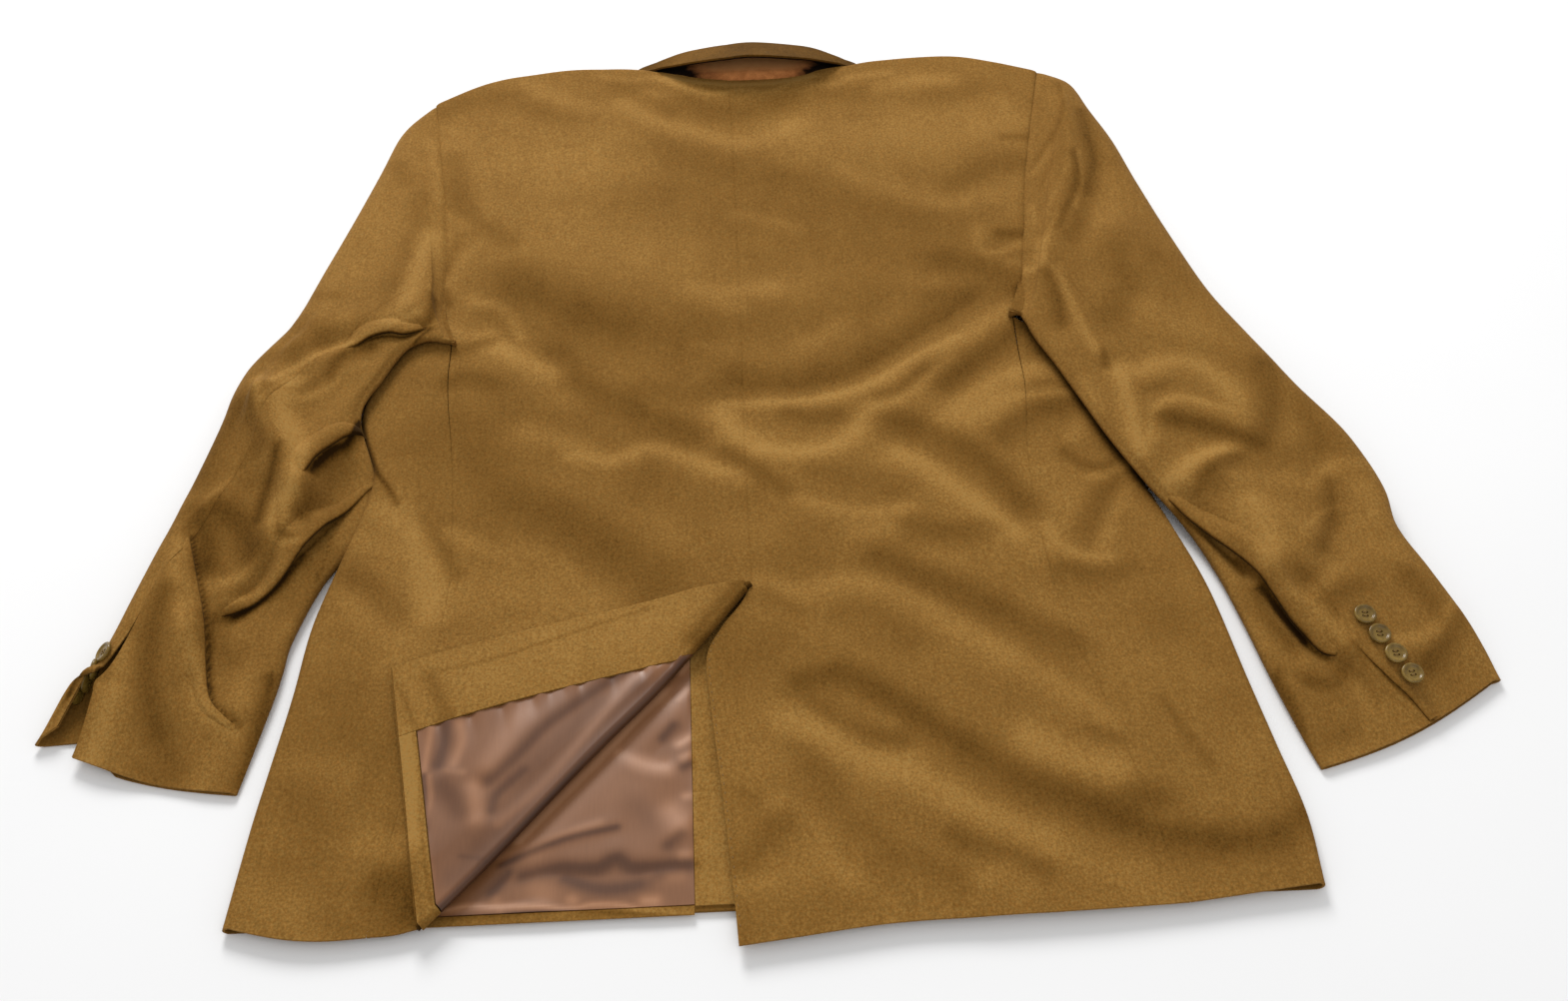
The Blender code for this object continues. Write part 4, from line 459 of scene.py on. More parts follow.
SLEEVE_LEANS_RIGHT = [
    (0.25, 1.5, 1.5, 27.9, 79.0, 27.6, 74.5),
    (-0.8, 0.3, 0.3, 29.0, 78.4, 28.6, 73.9, 27.2, 70.6, 25.5, 68.1),
    (0.5, 0.25, 0.25, 27.0, 69.7, 25.9, 67.7, 25.0, 66.3),
    (-0.5, 0.25, 0.25, 27.6, 68.3, 26.2, 66.3, 25.3, 64.5),
    (0.4, 0.3, 0.3, 28.6, 71.7, 28.0, 66.9, 26.1, 62.8, 25.1, 61.1),
    (-1.1, 0.4, 0.5, 28.5, 68.2, 28.4, 64.9, 27.0, 61.5, 25.9, 59.2),
    (0.5, 0.22, 0.22, 29.1, 68.4, 28.8, 64.6, 27.7, 61.6),
    (-1.1, 0.7, 0.8, 30.3, 74.1, 30.3, 70.1, 30.1, 66.9, 29.0, 63.5),
    (-0.7, 1.0, 1.0, 29.4, 64.4, 28.0, 60.6, 26.7, 58.2),
    (0.5, 0.4, 0.4, 26.1, 60.5, 24.7, 57.7, 23.8, 55.7),
    (0.95, 0.5, 0.6, 24.6, 57.9, 23.9, 55.3, 23.1, 55.1),
    (0.6, 0.3, 0.3, 24.4, 62.7, 24.3, 60.2),
    (-1.0, 0.5, 0.7, 24.3, 53.9, 24.7, 51.3, 24.7, 48.9),
    (0.85, 0.4, 0.5, 25.2, 54.5, 25.8, 50.2, 26.6, 46.6, 26.9, 45.7),
    (-1.0, 0.35, 0.4, 27.3, 45.7, 27.3, 44.3),
    (0.35, 1.5, 1.8, 30.8, 65.2, 30.3, 60.4),
    (-0.55, 1.3, 1.5, 30.1, 56.0, 30.3, 52.4, 28.5, 49.1),
    (-0.3, 2.0, 2.0, 33.4, 55.1, 35.4, 53.1),
    (0.35, 1.5, 2.0, 31.6, 50.2, 33.9, 47.9),
    (0.35, 0.6, 0.6, 25.4, 42.8, 26.0, 39.8),
    (1.1, 0.7, 0.8, 28.4, 44.0, 28.2, 40.0, 28.3, 35.6),
    (0.8, 1.1, 1.2, 29.6, 43.5, 32.4, 44.2, 34.5, 43.3, 35.9, 40.7, 36.3, 37.9),
    (-0.35, 0.5, 0.5, 29.8, 41.5, 31.5, 41.8),
    (0.75, 0.5, 0.6, 29.0, 36.5, 30.0, 39.4, 31.9, 40.2, 35.9, 38.5),
    (-1.1, 0.6, 0.9, 30.3, 38.7, 32.9, 37.8, 35.4, 36.6, 37.1, 36.0),
    (-0.9, 1.2, 1.6, 39.2, 43.2, 38.9, 40.0, 37.2, 36.6),
    (-0.7, 1.3, 1.6, 40.9, 40.0, 41.4, 36.3),
    (0.35, 1.0, 1.0, 40.1, 40.0, 40.0, 37.7),
    (1.2, 0.8, 1.0, 30.0, 32.9, 31.5, 34.3, 34.2, 35.5),
    (-1.0, 0.5, 0.6, 31.6, 31.7, 32.3, 33.0, 33.7, 34.1, 35.2, 34.9),
    (-0.6, 0.8, 0.8, 32.0, 31.1, 33.0, 32.6),
    (0.35, 1.0, 1.2, 34.4, 32.7, 38.4, 32.8),
    (1.05, 1.1, 1.4, 35.3, 30.6, 35.6, 27.8, 35.3, 25.3),
    (-0.75, 0.7, 0.8, 36.1, 25.0, 37.5, 24.2),
    (0.5, 0.5, 0.6, 39.7, 32.0, 42.0, 34.1, 44.6, 33.9),
    (-0.85, 0.5, 0.7, 41.2, 32.3, 40.7, 29.4, 39.1, 26.3),
    (0.5, 0.25, 0.3, 38.2, 27.8, 39.9, 29.5, 41.8, 30.4),
    (0.45, 0.5, 0.6, 37.9, 23.0, 39.0, 24.1, 39.9, 24.9),
    (-0.55, 0.8, 0.9, 39.0, 22.4, 41.0, 23.3),
    (0.45, 1.3, 1.5, 43.7, 31.4, 43.2, 28.8),
    (0.25, 1.5, 1.5, 40.6, 27.2, 44.4, 26.1),
    (-0.7, 0.9, 1.0, 44.6, 23.8, 45.7, 21.8, 45.8, 20.8),
    (0.55, 0.5, 0.7, 42.2, 18.8, 44.6, 19.5, 46.9, 21.7),
    (-0.9, 0.6, 0.9, 43.9, 17.2, 45.6, 18.8, 47.6, 21.2),
    (0.5, 1.0, 1.2, 47.2, 19.0, 48.4, 17.2),
    (0.6, 0.5, 0.7, 35.4, 23.5, 37.2, 22.1, 38.7, 19.5, 39.2, 18.0),
    (-0.8, 0.15, 0.2, 38.0, 23.8, 38.5, 22.4, 39.0, 21.0),
    (0.3, 2.0, 2.0, 46.7, 19.0, 48.2, 17.0),
    (0.25, 2.0, 2.0, 36.2, 11.6, 41.2, 13.5),
    (-0.3, 2.0, 3.0, 28.8, 75.6, 28.1, 64.6, 25.3, 54.3),
    (-0.25, 2.5, 2.5, 30.3, 56.0, 33.5, 51.9),
    (-0.3, 1.5, 1.5, 35.7, 35.3, 39.7, 35.0),
    (0.4, 1.0, 1.0, 30.9, 32.6, 32.0, 31.1),
    (0.3, 1.5, 1.5, 37.5, 29.6, 37.7, 27.6),
    (-1.8, 0.1, 0.25, 30.0, 31.0, 30.8, 29.8, 31.9, 28.3, 32.9, 27.1, 33.8, 25.4),
    (-1.7, 0.22, 0.22, 33.3, 26.5, 33.9, 25.7, 34.8, 23.9, 35.1, 22.3, 36.1, 20.7, 36.8, 19.2,
     37.8, 18.4),
    (-2.6, 0.34, 0.42, 34.5, 24.0, 35.1, 22.9, 35.8, 21.1, 36.6, 19.7),
    (-1.0, 0.5, 0.8, 34.1, 23.7, 34.6, 21.2, 35.6, 19.4),
    (-0.85, 0.7, 0.8, 35.9, 16.5, 37.5, 16.0, 38.6, 17.2, 39.1, 18.1),
    (0.45, 0.3, 0.35, 34.5, 16.6, 36.3, 15.5, 38.2, 15.9, 39.2, 17.3),
    (0.5, 0.5, 0.5, 39.1, 16.0, 39.6, 13.9),
    (-1.8, 0.05, 0.13, 39.4, 18.9, 40.3, 17.5, 41.3, 16.0, 42.4, 14.7, 43.5, 13.3),
    (0.35, 0.8, 0.9, 31.8, 26.0, 32.8, 22.5, 33.6, 19.6),
    (-1.3, 0.6, 0.5, 33.9, 16.9, 34.5, 13.7, 34.8, 10.9),
    (-0.5, 0.9, 0.9, 35.8, 12.1, 37.7, 12.6),
    (0.2, 1.0, 1.0, 41.2, 13.4, 44.2, 14.8),
    (-0.6, 0.5, 0.5, 41.4, 45.5, 38.9, 43.8),
]
# The vent's three tables paint light and shade too: shade along the fold and in the creases,
# highlights on the satin's glints and puckers, and a painted light on the window beside the fold
# that lifts the flap's shadow.
FLAP_LEANS = [
    (0.8, 4.0, 4.0, -20.4, 18.0, -12.8, 20.9, -4.2, 24.3),
    (-0.8, 0.12, 0.12, -21.5, 19.3, -19.0, 19.8, -16.7, 20.5, -12.4, 22.1, -9.0, 23.5, -6.6, 24.3),
    (0.35, 0.18, 0.18, -20.4, 19.8, -16.3, 21.2, -10.2, 23.3, -6.0, 25.0),
    (-0.9, 0.5, 0.6, -21.1, 19.1, -20.3, 17.3, -19.6, 15.7),
    (-0.8, 0.14, 0.14, -23.6, 19.4, -23.3, 18.8, -22.6, 17.5, -21.8, 15.5),
    (0.6, 0.5, 0.5, -23.2, 19.0, -22.5, 19.3),
    (0.8, 0.6, 0.6, -22.6, 15.5, -22.0, 13.1, -21.5, 10.2, -21.1, 7.4),
    (-0.5, 0.5, 0.5, -21.2, 5.9, -20.5, 1.5),
    (0.8, 0.12, 0.12, -21.2, 4.4, -20.6, 2.5, -20.7, 1.5),
    (-0.9, 0.1, 0.16, -21.7, 15.1, -21.1, 12.0, -20.8, 8.5, -20.2, 5.1, -19.8, 3.3),
    (-1.3, 0.8, 0.8, -4.0, 21.5, -1.9, 24.2, -0.1, 26.2),
    (0.35, 0.5, 0.5, -16.5, 16.7, -13.7, 17.8),
]
LINING_LEANS = [
    (0.65, 0.35, 0.45, -6.0, 19.9, -6.9, 19.5, -8.2, 18.2, -8.9, 17.2, -10.3, 15.3, -11.5, 13.6,
     -12.8, 11.8, -14.3, 10.1, -16.1, 8.4),
    (-0.9, 0.25, 0.3, -4.7, 20.0, -6.9, 17.5, -8.7, 15.4, -10.6, 13.3, -12.2, 11.2, -14.6, 8.4,
     -16.7, 6.1, -18.2, 4.4, -19.3, 3.1),
    (-0.6, 1.2, 1.2, -7.6, 17.7, -12.5, 12.0, -16.0, 8.0, -18.5, 4.8),
    (-0.8, 0.45, 0.55, -7.9, 19.6, -11.2, 17.0, -13.5, 15.1, -15.3, 12.9, -16.9, 11.3),
    (-0.8, 0.4, 0.45, -14.7, 12.0, -16.3, 10.4, -16.6, 9.3),
    (-0.45, 1.2, 1.2, -10.1, 16.5, -12.6, 13.7, -15.0, 11.4),
    (0.9, 0.6, 0.6, -17.8, 10.9, -17.5, 8.8),
    (-0.6, 0.9, 0.9, -19.9, 11.2, -18.9, 10.1, -18.4, 9.3),
    (0.9, 0.2, 0.25, -20.6, 15.8, -20.8, 13.9, -20.9, 12.2),
    (0.8, 0.2, 0.25, -20.6, 11.8, -20.4, 10.2, -20.7, 7.8, -20.4, 6.7, -20.0, 5.1, -19.9, 3.6),
    (0.8, 0.3, 0.35, -18.9, 15.5, -18.7, 14.2, -19.1, 12.6),
    (0.5, 0.25, 0.25, -19.5, 12.2, -18.5, 12.0),
    (-1.0, 0.2, 0.25, -20.9, 11.9, -20.5, 8.1),
    (-0.7, 0.2, 0.25, -18.3, 6.3, -16.8, 6.0),
    (-0.9, 0.4, 0.5, -19.8, 15.7, -19.8, 14.0, -20.1, 12.6),
    (0.5, 0.8, 0.8, -14.9, 16.2, -16.0, 14.4, -16.9, 12.5),
    (-0.3, 1.5, 1.5, -19.0, 6.8, -17.8, 8.0),
    (0.3, 1.2, 1.2, -18.5, 3.7, -17.7, 4.8),
]
WINDOW_LEANS = [
    (1.5, 0.4, 0.5, -4.4, 20.5, -6.1, 18.1, -8.4, 15.5, -10.5, 12.9, -12.9, 10.2, -15.0, 7.7),
    (0.6, 0.8, 1.0, -5.0, 18.4, -7.1, 15.6, -9.8, 12.5, -12.3, 9.7, -14.3, 7.1),
    (-1.1, 0.22, 0.28, -16.0, 6.2, -13.4, 7.3, -11.6, 7.9, -9.0, 8.4),
    (0.6, 0.3, 0.4, -16.1, 6.8, -13.4, 7.8, -10.1, 8.8),
    (-1.1, 0.5, 0.6, -14.6, 5.4, -12.5, 5.8, -10.2, 5.7, -9.0, 6.3, -7.9, 5.6, -4.6, 5.7),
    (-0.9, 0.5, 0.5, -12.1, 5.1, -10.0, 4.3, -7.9, 4.4, -6.4, 5.0),
    (-0.9, 0.3, 0.4, -15.5, 5.6, -16.5, 4.3),
    (0.7, 0.3, 0.3, -16.3, 4.0, -15.9, 3.2),
    (1.3, 0.2, 0.25, -19.5, 3.3, -17.9, 3.6, -16.5, 3.5, -13.9, 3.4, -11.8, 3.1, -10.5, 3.3, -8.7,
     3.2, -7.2, 2.7, -4.7, 2.4),
    (1.2, 0.4, 0.5, -7.3, 3.4, -6.7, 3.4),
    (1.0, 0.4, 0.4, -11.7, 3.7, -11.6, 3.6),
    (1.3, 0.35, 0.4, -4.6, 18.3, -5.1, 17.6),
    (1.2, 0.35, 0.4, -4.5, 14.6, -5.1, 14.2),
    (1.0, 0.3, 0.35, -4.9, 13.2, -4.5, 13.4),
    (1.0, 0.3, 0.35, -4.8, 10.4, -4.5, 10.4),
    (1.0, 0.9, 1.0, -5.7, 9.3, -5.2, 8.7),
    (0.9, 0.35, 0.4, -5.0, 6.3, -4.6, 6.3),
    (-0.9, 0.4, 0.5, -5.8, 19.0, -5.3, 19.3),
    (-0.9, 0.35, 0.45, -6.2, 14.7, -5.5, 15.6),
    (-0.8, 0.3, 0.35, -4.9, 12.5, -4.4, 12.7),
    (-0.8, 0.4, 0.5, -5.9, 7.0, -5.1, 7.7),
    (1.1, 0.6, 0.7, -9.0, 13.8, -7.3, 12.8, -6.0, 12.5),
    (0.8, 0.8, 0.8, -6.9, 18.5, -5.6, 17.3),
    (0.2, 2.5, 2.5, -10.1, 11.1, -7.6, 10.3),
    (-0.4, 1.0, 1.0, -7.9, 9.9, -7.0, 9.0),
    (0.6, 0.9, 0.9, -13.9, 4.8, -13.3, 4.1),
    (0.6, 0.5, 0.5, -7.0, 4.8, -5.2, 4.9),
    (-1.2, 0.1, 0.14, -19.9, 2.9, -16.4, 2.9, -12.4, 3.0, -9.0, 2.7, -4.7, 2.3),
]
SLEEVE_LIPS_LEFT = [
    (0.42, 1.7, 1.0, -29.9, 48.4, -29.0, 48.8, -27.9, 49.5, -26.6, 50.0, -25.4, 50.0, -24.0, 50.7),
    (0.55, 2.0, 1.0, -31.1, 35.9, -30.4, 37.5, -29.6, 38.8, -28.7, 40.0, -27.5, 41.0),
    (0.4, 1.7, 1.0, -35.6, 25.3, -34.4, 25.9, -33.2, 26.7, -31.8, 28.2, -30.6, 30.4, -29.5, 32.3,
     -28.3, 34.0, -26.7, 36.7),
    (0.32, 1.3, 1.0, -32.8, 16.3, -33.4, 16.7, -34.3, 17.4, -35.2, 18.4, -35.7, 19.6, -36.1, 21.9,
     -36.4, 24.2, -37.1, 26.6, -37.9, 29.3, -38.7, 31.8),
]
SLEEVE_LIPS_RIGHT = [
    (0.45, 2.0, 1.0, 29.7, 31.7, 30.8, 29.9, 31.9, 28.3, 32.9, 27.1, 33.9, 25.5, 34.7, 23.8, 35.2,
     22.7, 35.9, 20.8, 36.7, 19.6, 37.4, 18.7, 38.2, 18.3),
    (0.14, 0.9, 0.55, 39.2, 19.3, 40.3, 17.5, 41.3, 16.1, 42.4, 14.8, 43.2, 13.3),
]
print("strokes:", sum(map(len, (BODY_LEANS, SLEEVE_LEANS_LEFT, SLEEVE_LEANS_RIGHT))))


# %% [markdown]
# ## Curves and patches
# `through` draws a smooth curve through the rows of a table, `smooth_rows` reads a
# table between its rows, and `patch` fills four sides with a grid, as a tailor's
# pattern piece is filled between its edges.

# %% Curve helpers
def through(table):
    """A function of the share of the length, 0 to 1, along a smooth curve."""
    rows = np.array(table, float)
    ends = np.vstack([2 * rows[0] - rows[1], rows, 2 * rows[-1] - rows[-2]])
    t = np.linspace(0, 1, 24, endpoint=False)[:, None]
    dense = []
    for i in range(len(rows) - 1):
        a, b, c, d = ends[i:i + 4]
        dense.append(0.5 * (2 * b + (c - a) * t + (2 * a - 5 * b + 4 * c - d) * t * t
                            + (3 * b - a - 3 * c + d) * t ** 3))
    dense = np.vstack(dense + [rows[-1:]])
    steps = np.linalg.norm(np.diff(dense[:, :2], axis=0), axis=1)
    share = np.concatenate([[0], np.cumsum(steps)])
    share /= share[-1]
    return lambda s: np.stack([np.interp(s, share, dense[:, k])
                               for k in range(dense.shape[1])], axis=-1)


def smooth_rows(table, y):
    """The columns after the first, read smoothly at values y of the first."""
    rows = np.array(table, float)
    y = np.clip(y, rows[0, 0], rows[-1, 0])
    i = np.clip(np.searchsorted(rows[:, 0], y) - 1, 0, len(rows) - 2)
    a, b = rows[i], rows[i + 1]
    before, after = rows[np.maximum(i - 1, 0)], rows[np.minimum(i + 2, len(rows) - 1)]
    t = ((y - a[..., 0]) / (b[..., 0] - a[..., 0]))[..., None]
    return 0.5 * (2 * a + (b - before) * t + (2 * before - 5 * a + 4 * b - after) * t ** 2
                  + (3 * a - before - 3 * b + after) * t ** 3)[..., 1:]


def unit(rows):
    return rows / np.linalg.norm(rows, axis=1, keepdims=True)


def left_of(line):
    """Unit steps to the left of a line, as one walks along it."""
    along = unit(np.gradient(line, axis=0))
    return np.stack([-along[:, 1], along[:, 0]], axis=1)


def sideways(line, amount):
    return line + amount * left_of(line)


def patch(left, right, bottom, top, u):
    """A grid between four sides: rows run from bottom to top, columns at shares u."""
    v = np.linspace(0, 1, len(left))[:, None, None]
    u = np.asarray(u)[None, :, None]
    sides = (1 - u) * left[:, None] + u * right[:, None]
    ends = (1 - v) * bottom[None] + v * top[None]
    corners = ((1 - u) * (1 - v) * left[0] + u * (1 - v) * right[0]
               + (1 - u) * v * left[-1] + u * v * right[-1])
    return sides + ends - corners


def lift(plan, height):
    return np.concatenate([plan, np.asarray(height)[..., None]], axis=-1)


def ease(x):
    x = np.clip(x, 0, 1)
    return x * x * (3 - 2 * x)


# %% [markdown]
# ## From strokes to folds
# The strokes are painted on a fine raster. Their tone is the slope toward the light,
# so the height is found by adding the slope up. Adding it up along each line alone
# would leave streaks, so the smoothest height with that slope is solved for in one go
# with a Fourier transform, and anything longer than a fold is left out.

# %% Paint strokes and find their heights
RASTER = 0.125  # cm
SLOPE = 0.34  # slope of a stroke of amount 1
STEEPEST = 1.3  # the most that strokes add up to in the slope
BLUR, ALONG = 0.25, 0.30  # cm of blur, and how stiff a fold is along its own line
MARGIN = 8.0  # raster beyond the cloth on every side, cm


class Folds:
    """The tone and height of a table of strokes over the plan, from low to high.
    Slope is that of a stroke of amount 1, and reach the width of the widest fold."""

    def __init__(self, strokes, low, high, slope=SLOPE, reach=5.0):
        self.low = np.array(low, float) - MARGIN
        count = ((np.array(high) + MARGIN - self.low) / RASTER).astype(int)
        # the two fields gather the pale strokes, painted highlights, and the brown ones, painted
        # shade
        self.pale, self.brown = np.zeros((2, count[1], count[0]))
        for amount, left, right, *path in strokes:
            self.paint(amount, left, right, np.array(path, float).reshape(-1, 2))
        self.tone = np.cbrt(self.pale) - np.cbrt(self.brown)
        lean = np.fft.rfft2(np.clip(self.tone, -STEEPEST, STEEPEST) * slope)
        ky = 2 * math.pi * np.fft.fftfreq(count[1], RASTER)[:, None]
        kx = 2 * math.pi * np.fft.rfftfreq(count[0], RASTER)[None]
        blur = np.exp(-0.5 * (kx ** 2 + ky ** 2) * BLUR ** 2)
        high = 1j * ky * lean * blur / (ky ** 2 + ALONG * kx ** 2 + reach ** -2)
        self.height = np.fft.irfft2(high, s=self.tone.shape)

    def paint(self, amount, left, right, points):
        """Add a stroke. Cubes are added up, so that where two cross the larger wins."""
        line = through(points)(np.linspace(0, 1, 4 * len(points)))
        reach = 2.4 * max(left, right)
        low = np.maximum(((line.min(0) - reach - self.low) / RASTER).astype(int), 0)
        high = ((line.max(0) + reach - self.low) / RASTER).astype(int) + 1
        field = self.pale if amount > 0 else self.brown
        part = field[low[1]:high[1], low[0]:high[0]]
        x = self.low[0] + RASTER * (low[0] + np.arange(part.shape[1]))[None]
        y = self.low[1] + RASTER * (low[1] + np.arange(part.shape[0]))[:, None]
        best, side = np.full(part.shape, 1e9), np.zeros(part.shape)
        for (x0, y0), (x1, y1) in zip(line, line[1:]):
            dx, dy = x1 - x0, y1 - y0
            t = np.clip(((x - x0) * dx + (y - y0) * dy) / (dx * dx + dy * dy), 0, 1)
            ax, ay = x - x0 - t * dx, y - y0 - t * dy
            away = ax * ax + ay * ay
            nearer = away < best
            best = np.where(nearer, away, best)
            side = np.where(nearer, (dx * ay - dy * ax) / math.hypot(dx, dy), side)
        away = np.sqrt(best)
        lean = ease(0.5 + 0.5 * side / np.maximum(away, 1e-6))
        part += (abs(amount) * np.exp(-(away / (right + (left - right) * lean)) ** 2)) ** 3

    def read(self, field, x, y):
        """The tone or height at points, between the raster's own."""
        gx = np.clip((x - self.low[0]) / RASTER, 0, field.shape[1] - 1.001)
        gy = np.clip((y - self.low[1]) / RASTER, 0, field.shape[0] - 1.001)
        i, j = gy.astype(int), gx.astype(int)
        fy, fx = gy - i, gx - j
        return ((field[i, j] * (1 - fx) + field[i, j + 1] * fx) * (1 - fy)
                + (field[i + 1, j] * (1 - fx) + field[i + 1, j + 1] * fx) * fy)


body_folds = Folds(BODY_LEANS, (-35, -2), (35, 84))
sleeve_folds = {"left": Folds(SLEEVE_LEANS_LEFT, (-50, 8), (-20, 84), 0.46),
                "right": Folds(SLEEVE_LEANS_RIGHT, (20, 8), (52, 84), 0.46)}
flap_folds = Folds(FLAP_LEANS, (-26, 0), (3, 28), 0.10)
lining_folds = Folds(LINING_LEANS, (-26, 0), (3, 28), 0.20, reach=2.5)
window_folds = Folds(WINDOW_LEANS, (-22, 0), (3, 28), 0.16, reach=2.5)
print("height of the body's folds, cm:", body_folds.height.min().round(2),
      body_folds.height.max().round(2))


# %% Height of the back with its folds
def plain_height(x, y):
    across = np.clip(x / smooth_rows(HALF_WIDTH, y)[..., 0], -1, 1) * 2 + 2
    columns = smooth_rows(BACK_HEIGHT, y)
    i = np.clip(across.astype(int), 0, 3)
    t = ease(across - i)
    low = np.take_along_axis(columns, i[..., None], -1)[..., 0]
    high = np.take_along_axis(columns, i[..., None] + 1, -1)[..., 0]
    return low + (high - low) * t


def surface(x, y):
    """Height of the back with its folds, which never sink below the least height."""
    x, y = np.asarray(x, float), np.asarray(y, float)
    plain = plain_height(x, y)
    folds = body_folds.read(body_folds.height, x, y)
    room = plain - LEAST
    return plain + np.where(folds < 0, -room * np.tanh(-folds / room), folds)


def tone(x, y):
    return body_folds.read(body_folds.tone, x, y)


# %% [markdown]
# ## A wall of cloth
# Cloth has a front, a back and an edge as thick as the cloth. The Solidify modifier
# could make them, but here the wall is written out with numpy, because then each point
# keeps its tone, the painted light and shade of the strokes, in an attribute that the suede reads.

# %% Build walls from grids
def linked(name, data):
    made = bpy.data.objects.new(name, data)
    bpy.context.scene.collection.objects.link(made)
    return made


def smooth(mesh, sharp=None):
    """Shade a mesh smooth, apart from edges that are sharper than some degrees."""
    mesh.polygons.foreach_set("use_smooth", np.ones(len(mesh.polygons), bool))
    if sharp is not None:
        mesh.set_sharp_from_angle(angle=math.radians(sharp))


def grid_normals(points, flip):
    du, dv = np.gradient(points, axis=1), np.gradient(points, axis=0)
    normal = np.cross(du, dv) * (-1 if flip else 1)
    return normal / np.maximum(np.linalg.norm(normal, axis=2, keepdims=True), 1e-9)


def quads(rows, cols, flip, start):
    a = start + (np.arange(rows - 1)[:, None] * cols + np.arange(cols - 1)[None]).ravel()
    faces = np.stack([a, a + 1, a + cols + 1, a + cols], 1)
    return faces[:, ::-1] if flip else faces


def rim(rows, cols):
    """The points round a grid's edge, and the next one after each."""
    ring = np.concatenate([np.arange(cols), np.arange(1, rows) * cols + cols - 1,
                           (rows - 1) * cols + np.arange(cols - 2, -1, -1),
                           np.arange(rows - 2, 0, -1) * cols])
    return ring, np.roll(ring, -1)


def wall(name, grids, finish):
    """One object from (outer points, tone, thickness or inner points, flip) grids."""
    points, faces, tones, start = [], [], [], 0
    for outer, shade, thick, flip in grids:
        rows, cols = outer.shape[:2]
        inner = (outer - grid_normals(outer, flip) * thick if np.ndim(thick) == 0
                 else thick)
        count = rows * cols
        faces.append(quads(rows, cols, flip, start))
        faces.append(quads(rows, cols, not flip, start + count))
        a, b = rim(rows, cols)
        a, b = a + start, b + start
        edge = np.stack([b, a, a + count, b + count], 1)
        faces.append(edge[:, ::-1] if flip else edge)
        points += [outer.reshape(-1, 3), inner.reshape(-1, 3)]
        shade = np.broadcast_to(shade, (rows, cols)).ravel()
        tones += [shade, shade]
        start += 2 * count
    faces = np.concatenate(faces)
    mesh = bpy.data.meshes.new(name)
    mesh.from_pydata(to_row(np.concatenate(points)), [], faces.tolist())
    # the attribute holds each point's painted light and shade
    mesh.attributes.new("nap", "FLOAT", "POINT").data.foreach_set(
        "value", np.concatenate(tones).astype(np.float32))
    smooth(mesh, 50)
    mesh.materials.append(finish)
    made = linked(name, mesh)
    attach(made, ROOT)
    return made


def cut_size(outer):
    """Flat width, length and area of a grid, in metres."""
    across = np.linalg.norm(np.diff(outer, axis=1), axis=2)
    along = np.linalg.norm(np.diff(outer, axis=0), axis=2)
    area = np.sum(0.5 * (across[1:] + across[:-1]) * 0.5 * (along[:, 1:] + along[:, :-1]))
    return across.sum(1).max() * 0.01, along.sum(0).max() * 0.01, area * 1e-4


def lay(made, outer, node):
    """Hide the node that a piece stands for, and print the size of its sheet, by its outer grid.
    """
    wide, long, area = cut_size(outer)
    wide, long = max(round(wide, 3), 0.01), max(round(long, 3), 0.01)
    area = min(round(float(area), 5), wide * long)
    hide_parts(node)
    print(f"{made.name}: {wide:.3f} x {long:.3f} m, {area:.4f} m2,",
          len(made.data.polygons), "faces")


# %% [markdown]
# ## Finishes
# Shader maths is written as plain expressions. `Socket` wraps an output of a node, and
# its operators add the Math nodes, so `1 - mask` is a node tree.

# %% A small wrapper for shader nodes
class Socket:
    def __init__(self, finish, output):
        self.finish, self.output = finish, output

    def math(self, operation, *values):
        """A Math node of some sockets and numbers."""
        return self.finish.node("ShaderNodeMath", {"operation": operation},
                                **{str(i): v for i, v in enumerate(values)})

    def __add__(self, other):
        return self.math("ADD", self, other)

    def __mul__(self, other):
        return self.math("MULTIPLY", self, other)

    def __sub__(self, other):
        return self.math("SUBTRACT", self, other)

    def __rsub__(self, other):
        return self.math("SUBTRACT", other, self)

    __radd__, __rmul__ = __add__, __mul__


